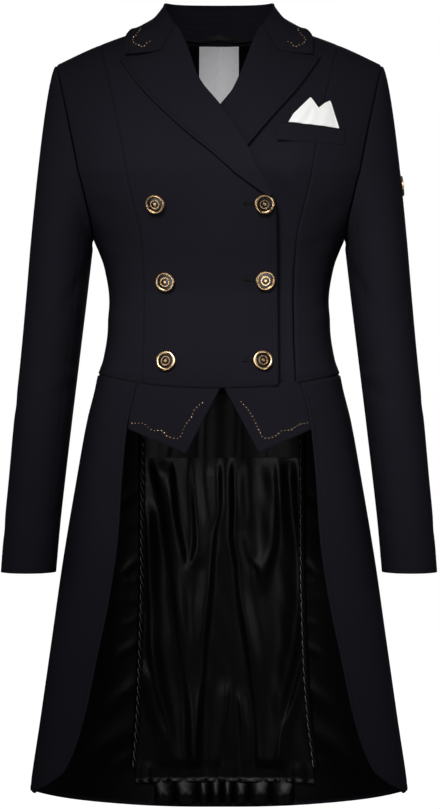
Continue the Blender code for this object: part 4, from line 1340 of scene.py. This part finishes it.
class TAILCOAT_OT_skirt(bpy.types.Operator):
    """Hangs the four panels of the skirt and the waistcoat points"""

    bl_idname = "tailcoat.skirt"
    bl_label = "Skirt"

    def execute(self, context):
        hem = row("high", HEM_ROW)
        front = [*free("first", "high"), *row("first", SKIRT_ROW), *hem, *seam("last")]
        back = [*seam("first", "last"), *free("high"), *hem]
        for (side, word), corners in zip(SIDES, (VEST_RIGHT, VEST_LEFT)):
            cloth(f"skirt_front_{word}", *skirt_faces(60, False, front), "softshell", side)
            cloth(f"skirt_back_{word}", *skirt_faces(80, True, back), "softshell", side)
            cloth(f"vest_point_{word}", *vest_faces(corners), "softshell", side)
        return {"FINISHED"}


def loose_lining(thick):
    """The loose panel between the cords, with its folds and the gathered band along its foot."""
    z = np.linspace(YOKE_FOOT - SEAM, BAND_TOP, 130), np.linspace(BAND_TOP, BAND_FOOT, 18)[1:]
    z = np.concatenate(z)[:, None]
    x = tail_across(np.linspace(0, 1, 240)[None, :], z, 3.0)
    band = ease((BAND_TOP + 8 - z) / 14)
    deep = 1.0 + 1.4 * ease((YOKE_FOOT - z) / 60) + ridged(x, z, FOLDS) * (1 - 0.85 * band)
    deep = deep + 0.9 * np.sin(x / 15 + 0.8 * np.sin(z / 70)) * np.sin(z / 47 + x / 60 + 1)
    deep = deep + 0.3 * np.sin(x / 4.3 + z / 19) * np.sin(z / 23 + 1)
    gather = np.sin(x / 3.1 + 1.4 * np.sin(x / 13)) * np.sin(x / 7.7 + 1)
    low = np.exp(-(((z - BAND_FOOT - 2.6) / 2.4) ** 2))
    deep = deep + band * (0.6 + (0.5 + 1.2 * low) * gather + 2.0 * low)
    return on_back(x, z, LAYER + deep + thick)


def yoke_lining(thick):
    z = np.linspace(YOKE_TOP - 15, YOKE_FOOT, 26)[:, None]
    x = tail_across(np.linspace(0, 1, 90)[None, :], z)
    return on_back(x, z, LAYER + 1 + ridged(x, z, YOKE_FOLDS) + thick)


def hem_pleats(thick):
    """The strip of soft pleats that shows under the loose lining."""
    z = np.linspace(BAND_FOOT + 8, PLEAT_FOOT, 26)[:, None]
    edges = np.array(PLEAT_EDGES, float)
    x = [np.linspace(a, b, 27)[:-1] for a, b in zip(edges, edges[1:])]
    x = np.concatenate([*x, edges[-1:]])
    k = np.clip(np.searchsorted(edges, x, side="right") - 1, 0, len(edges) - 2)
    share = (x - edges[k]) / (edges[k + 1] - edges[k])
    swell = np.sqrt(np.maximum(1 - (2 * share - 1) ** 2, 0))
    down = ease((BAND_FOOT + 8 - z) / 22)
    deep = 1.2 + PLEAT_DEPTH * swell * (0.25 + 0.75 * down) + thick
    return on_back(x[None, :] + 0 * z, z + 3.5 * (1 - swell) * down, deep)


def side_lining(column, thick):
    """From the swept edge of the skirt round the side to a cord, drawn up in gathers there."""
    f = np.linspace(0, 1, 120)[:, None]
    z = YOKE_TOP - 4 + (HEM_SIDE + 7 - YOKE_TOP) * f
    share = spread(36, 0.3)[None, :]
    out = -CLOTH - LAYER - 0.5 - thick
    front = place(mix(skirt_edge(z, 4), 90, share), z - CHEST + 0 * share, False, out)
    share = spread(70, 0.3)[None, 1:]
    under = TUCKED_UNDER[column - 1] * ease((38 * f - 890 - z) / 24)
    angle = mix(90, angle_at(smooth(CORDS, z, column) + 1 - under, z - CHEST), share)
    drop = (tail_drop(np.minimum(angle, 90)) - 4) * f
    point = place(angle, z - drop - CHEST, True, out)
    lift = creased(point[..., 0], point[..., 2], SIDE_GATHERS) * ease((point[..., 2] + 910) / 30)
    return np.concatenate([front, place(angle, z - drop - CHEST, True, out - lift)], 1)


def hang(name, face, rests_on, side=1, held="hung"):
    """A piece of satin, from a function of how far its face lies inside the coat."""
    return cloth(name, face(LINING), face(0), "satin", side, held, rests_on)


class TAILCOAT_OT_tail_lining(bpy.types.Operator):
    """Hangs the satin inside of the tail with its folds, pleats and twisted cords"""

    bl_idname = "tailcoat.tail_lining"
    bl_label = "Tail lining"

    def execute(self, context):
        backs = ["skirt_back_right", "skirt_back_left"]
        hang("tail_lining_centre", loose_lining, backs, held="gathered")
        hang("tail_lining_yoke", yoke_lining, backs)
        hang("hem_pleats", hem_pleats, backs, held="folded")
        sizes = context.scene.tailcoat_sizes
        values = {"Radius": sizes.cord_radius, "Pitch": sizes.cord_pitch * STRANDS}
        for column, (side, word) in enumerate(SIDES, 1):
            panels = [f"skirt_front_{word}", f"skirt_back_{word}"]
            faces = [side_lining(column, thick) for thick in (LINING, 0)]
            cloth(f"tail_lining_side_{word}", *faces, "satin", side, rests_on=panels)
            z = np.linspace(*CORD_ENDS, 90)
            line = on_back(smooth(CORDS, z, column), z, LAYER + LINING + CORD_UNDER) * (side, 1, 1)
            node = f"tail_cord_{word}"
            grown(node + "_twist", [line], cord_tree, "cording", node, **values)
        return {"FINISHED"}


class TAILCOAT_OT_neck_inside(bpy.types.Operator):
    """Lines the back of the neck and sews in the bare label and the hanger tape"""

    bl_idname = "tailcoat.neck_inside"
    bl_label = "Inside of the neck"

    def execute(self, context):
        rows = (
            ("back_neck_lining", NECK_LINING, NECK_UNDER, "satin"),
            ("label", LABEL, NECK_UNDER + LINING + LABEL_UNDER, "label_satin"),
        )
        for name, sizes, deep, kind in rows:
            x = sizes["half"] * (2 * np.linspace(0, 1, 36)[None, :] - 1)
            z = mix(sizes["top"], sizes["foot"], np.linspace(0, 1, 36)[:, None])
            faces = [on_back(x + 0 * z, z + 0 * x, deep + t) for t in (0, sizes["thick"])]
            cloth(name, *faces, kind, rests_on=["back_right", "back_left"])
        reach = COLLAR_SHOULDER * TAPE["half"] / NECK_HALF
        along = reach * np.linspace(-1, 1, 40)[None, :]
        share = np.linspace(TAPE["low"], TAPE["high"], 8)[:, None]
        faces = [collar_point(along, share) - (0, 0.5 + t, 0) for t in (0, TAPE["thick"])]
        cloth("hanger_tape", *faces, "satin", rests_on=["collar"])
        return {"FINISHED"}


class TAILCOAT_OT_pocket(bpy.types.Operator):
    """Sews the breast pocket's welt and folds the square that sits in it"""

    bl_idname = "tailcoat.pocket"
    bl_label = "Breast pocket"

    def execute(self, context):
        share, f = spread(50, 0.7)[None, :], spread(24, 0.7)[:, None]
        x = mix(*WELT["x"], share) + 0 * f
        z = mix(mix(*WELT["top"], share), mix(*WELT["bottom"], share), f)
        edges = seam("first", "last", "low", "high", sink=WELT_SINK)
        outer, inner = WELT["out"]
        outs = outer - sunk_at(on_coat(x, z, 0.0), edges), inner + 0 * x
        faces = [on_coat(x, z, out) for out in outs]
        under = ["front_left", "side_front_left"]
        cloth("pocket_welt", *faces, "softshell", rests_on=under)
        share, f = np.linspace(0, 1, 110)[None, :], np.linspace(0, 1, 34)[:, None]
        x = mix(*SQUARE_X, share) + 0 * f
        foot = mix(*WELT["top"], (x - WELT["x"][0]) / (WELT["x"][1] - WELT["x"][0]))
        z = foot + 0.2 + np.interp(share[0], SQUARE[:, 0], SQUARE[:, 1])[None, :] * f
        out = SQUARE_OUT + creased(x, z, SQUARE_FOLDS)
        faces = [on_coat(x, z, out - t) for t in (0, SQUARE_THICK)]
        under = ["front_left", "pocket_welt"]
        cloth("pocket_square", *faces, "linen", held="folded", rests_on=under)
        return {"FINISHED"}


def turned(node, rows, base, normal, steps=48):
    """A lathe-turned piece for a node, from its rings down the axis: their radius and height, and
    the finish of the band that each one starts."""
    facing = np.array(Vector(normal).to_track_quat("Z", "Y").to_matrix())
    turn = np.linspace(0, math.tau, steps, endpoint=False)
    points, faces, which, rings = [], [], [], []
    for radius, height, _ in rows:
        start = len(points)
        if radius == 0:
            points.append((0, 0, height))
            rings.append([start] * steps)
        else:
            points += [(radius * math.cos(t), radius * math.sin(t), height) for t in turn]
            rings.append(list(range(start, start + steps)))
    for upper, lower, (_, _, band) in zip(rings, rings[1:], rows):
        for k in range(steps):
            n = (k + 1) % steps
            faces.append(list(dict.fromkeys([upper[k], lower[k], lower[n], upper[n]])))
            which.append(band)
    points = np.array(points) @ facing.T + base
    kinds = ["gilt", "enamel"]
    return piece(node + "_gilt", points, faces, kinds, node, face_kinds=which, smooth_over=35)


class TAILCOAT_OT_buttons(bpy.types.Operator):
    """Turns the six gilt buttons with their dark middles"""

    bl_idname = "tailcoat.buttons"
    bl_label = "Buttons"

    def execute(self, context):
        radius = context.scene.tailcoat_sizes.button_radius / MM
        rows = [(radius * share, height, band) for share, height, band in BUTTON]
        for number, (x, z) in enumerate(BUTTON_PLACES, 1):
            base, above = (on_coat(np.array(abs(x)), np.array(z), out) for out in (0.0, 1.0))
            mirror = (math.copysign(1, x), 1, 1)
            base, normal = base * mirror, unit(above - base) * mirror
            turned(f"button_{number}", [*rows, *SHANK], base + normal * BUTTON_SEAT, normal)
        return {"FINISHED"}


class TAILCOAT_OT_badge(bpy.types.Operator):
    """Sets the round gilt badge on the sleeve"""

    bl_idname = "tailcoat.badge"
    bl_label = "Badge"

    def execute(self, context):
        down = halved(0.0, 1.0, lambda at: sleeve_point(0.0, at)[..., 2] > BADGE_HEIGHT)
        normal = unit(sleeve_wall(0.0, down, 1.0) - sleeve_wall(0.0, down, 0.0))
        rows = [(BADGE_RADIUS * share, BADGE_THICK * high, band) for share, high, band in BADGE]
        turned("sleeve_badge", rows, sleeve_wall(0.0, down, SEAM), normal)
        return {"FINISHED"}


def straight_behind(carrier, x, z, out):
    """The point of a piece straight behind a place seen from in front, so far out from it."""
    hit, point, normal, _ = carrier.ray_cast((x * MM, -1, z * MM), (0, 1, 0))
    if not hit:
        raise RuntimeError(f"nothing of {carrier.name} lies behind {x:.0f}, {z:.0f}")
    return np.array(point) / MM + np.array(normal) * out


def buttonholes():
    """The thread round each buttonhole and the slot in it, on the wearer's left of the front."""
    rims, slots = [], []
    turn = np.linspace(0, math.tau, 60)
    eye = HOLE["wide"] + HOLE["eye"] * ease((-np.cos(turn) - 0.2) / 0.6)
    first, eye_end, back = HOLE["slot"]
    slot = np.concatenate([np.linspace(first, eye_end, 20), np.linspace(eye_end, back, 5)])
    for _, z in BUTTON_PLACES[1::2]:
        x = HOLE["x"] + HOLE["long"] * np.clip(1.2 * np.cos(turn), -1, 1)
        up = z + eye * np.clip(1.6 * np.sin(turn), -1, 1)
        rims.append(on_coat(-x, up, 0.15) * (-1, 1, 1))
        slots += [on_coat(-slot, z + off + 0 * slot) * (-1, 1, 1) for off in (-0.25, 0.25)]
    beaded("buttonholes", rims, "satin", *HOLE_THREADS["rim"])
    beaded("buttonhole_slots", slots, "satin", *HOLE_THREADS["slot"])


class TAILCOAT_OT_trimmings(bpy.types.Operator):
    """Adds the rows of topstitching and the lines of gilt beads"""

    bl_idname = "tailcoat.trimmings"
    bl_label = "Stitching and beads"

    def execute(self, context):
        def both(parts, edge, away, **span):
            names = [f"{part}_{word}" for part in parts for _, word in SIDES]
            return [line_inside(name, edge, away, **span) for name in names]

        edge = [line_inside("front_right", "first", away, end=FRONT_END) for away in FRONT_ROWS]
        stitches("front_edge_stitches", edge)
        waist = [line_inside("front_right", "low", WAIST_ROW)]
        waist += both(("side_front", "back", "side_back"), "low", WAIST_ROW)
        stitches("waist_stitches", waist)
        lapels = both(["lapel"], "last", EDGE_ROW)
        lapels += both(["lapel"], "high", EDGE_ROW, start=TOP_START)
        collar = [line_inside("collar", "last", EDGE_ROW)]
        stitches("lapel_and_collar_stitches", lapels + collar)
        skirt = both(("skirt_front", "skirt_back"), "high", HEM_ROW)
        stitches("skirt_stitches", skirt + both(["skirt_front"], "first", SKIRT_ROW))
        stitches("cuff_stitches", both(("sleeve_top", "sleeve_under"), "high", CUFF_ROW))
        band = [line_inside("tail_lining_centre", "high", away, 0.3) for away in BAND_ROWS]
        stitches("lining_band_stitches", band)
        buttonholes()
        label = [line_inside("label", edge, LABEL_ROW) for edge in ("first", "last", "low")]
        stitches("label_stitches", label)
        beads("vest_beads", [on_coat(*drawn(line).T, -CLOTH - 0.1) for line in VEST_BEADS])
        carrier = bpy.data.objects["collar_cloth"]
        line = drawn(COLLAR_BEADS)
        lines = [[straight_behind(carrier, side * x, z, 0.5) for x, z in line] for side in (-1, 1)]
        beads("collar_beads", lines)
        return {"FINISHED"}


class TAILCOAT_PT_panel(bpy.types.Panel):
    """Lists the steps and sizes of the coat"""

    bl_idname = "TAILCOAT_PT_panel"
    bl_label = "Tailcoat"
    bl_space_type = "VIEW_3D"
    bl_region_type = "UI"
    bl_category = "Tailcoat"

    def draw(self, context):
        for step in STEPS:
            self.layout.operator(step.bl_idname)
        for group in (context.scene.tailcoat_sizes, context.scene.tailcoat_finish):
            for name in group.__annotations__:
                self.layout.prop(group, name)


STEPS = (
    TAILCOAT_OT_stage, TAILCOAT_OT_bodice, TAILCOAT_OT_sleeves, TAILCOAT_OT_collar,
    TAILCOAT_OT_skirt, TAILCOAT_OT_tail_lining, TAILCOAT_OT_neck_inside, TAILCOAT_OT_pocket,
    TAILCOAT_OT_buttons, TAILCOAT_OT_badge, TAILCOAT_OT_trimmings,
)


def register():
    for made in (TailcoatSizes, TailcoatFinish, *STEPS, TAILCOAT_PT_panel):
        bpy.utils.register_class(made)
    bpy.types.Scene.tailcoat_sizes = PointerProperty(type=TailcoatSizes)
    bpy.types.Scene.tailcoat_finish = PointerProperty(type=TailcoatFinish)


def unregister():
    del bpy.types.Scene.tailcoat_finish
    del bpy.types.Scene.tailcoat_sizes
    for made in (TAILCOAT_PT_panel, *reversed(STEPS), TailcoatFinish, TailcoatSizes):
        bpy.utils.unregister_class(made)


def main():
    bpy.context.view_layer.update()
    register()
    for step in STEPS:
        group, name = step.bl_idname.split(".")
        getattr(getattr(bpy.ops, group), name)()


if __name__ == "__main__":
    main()
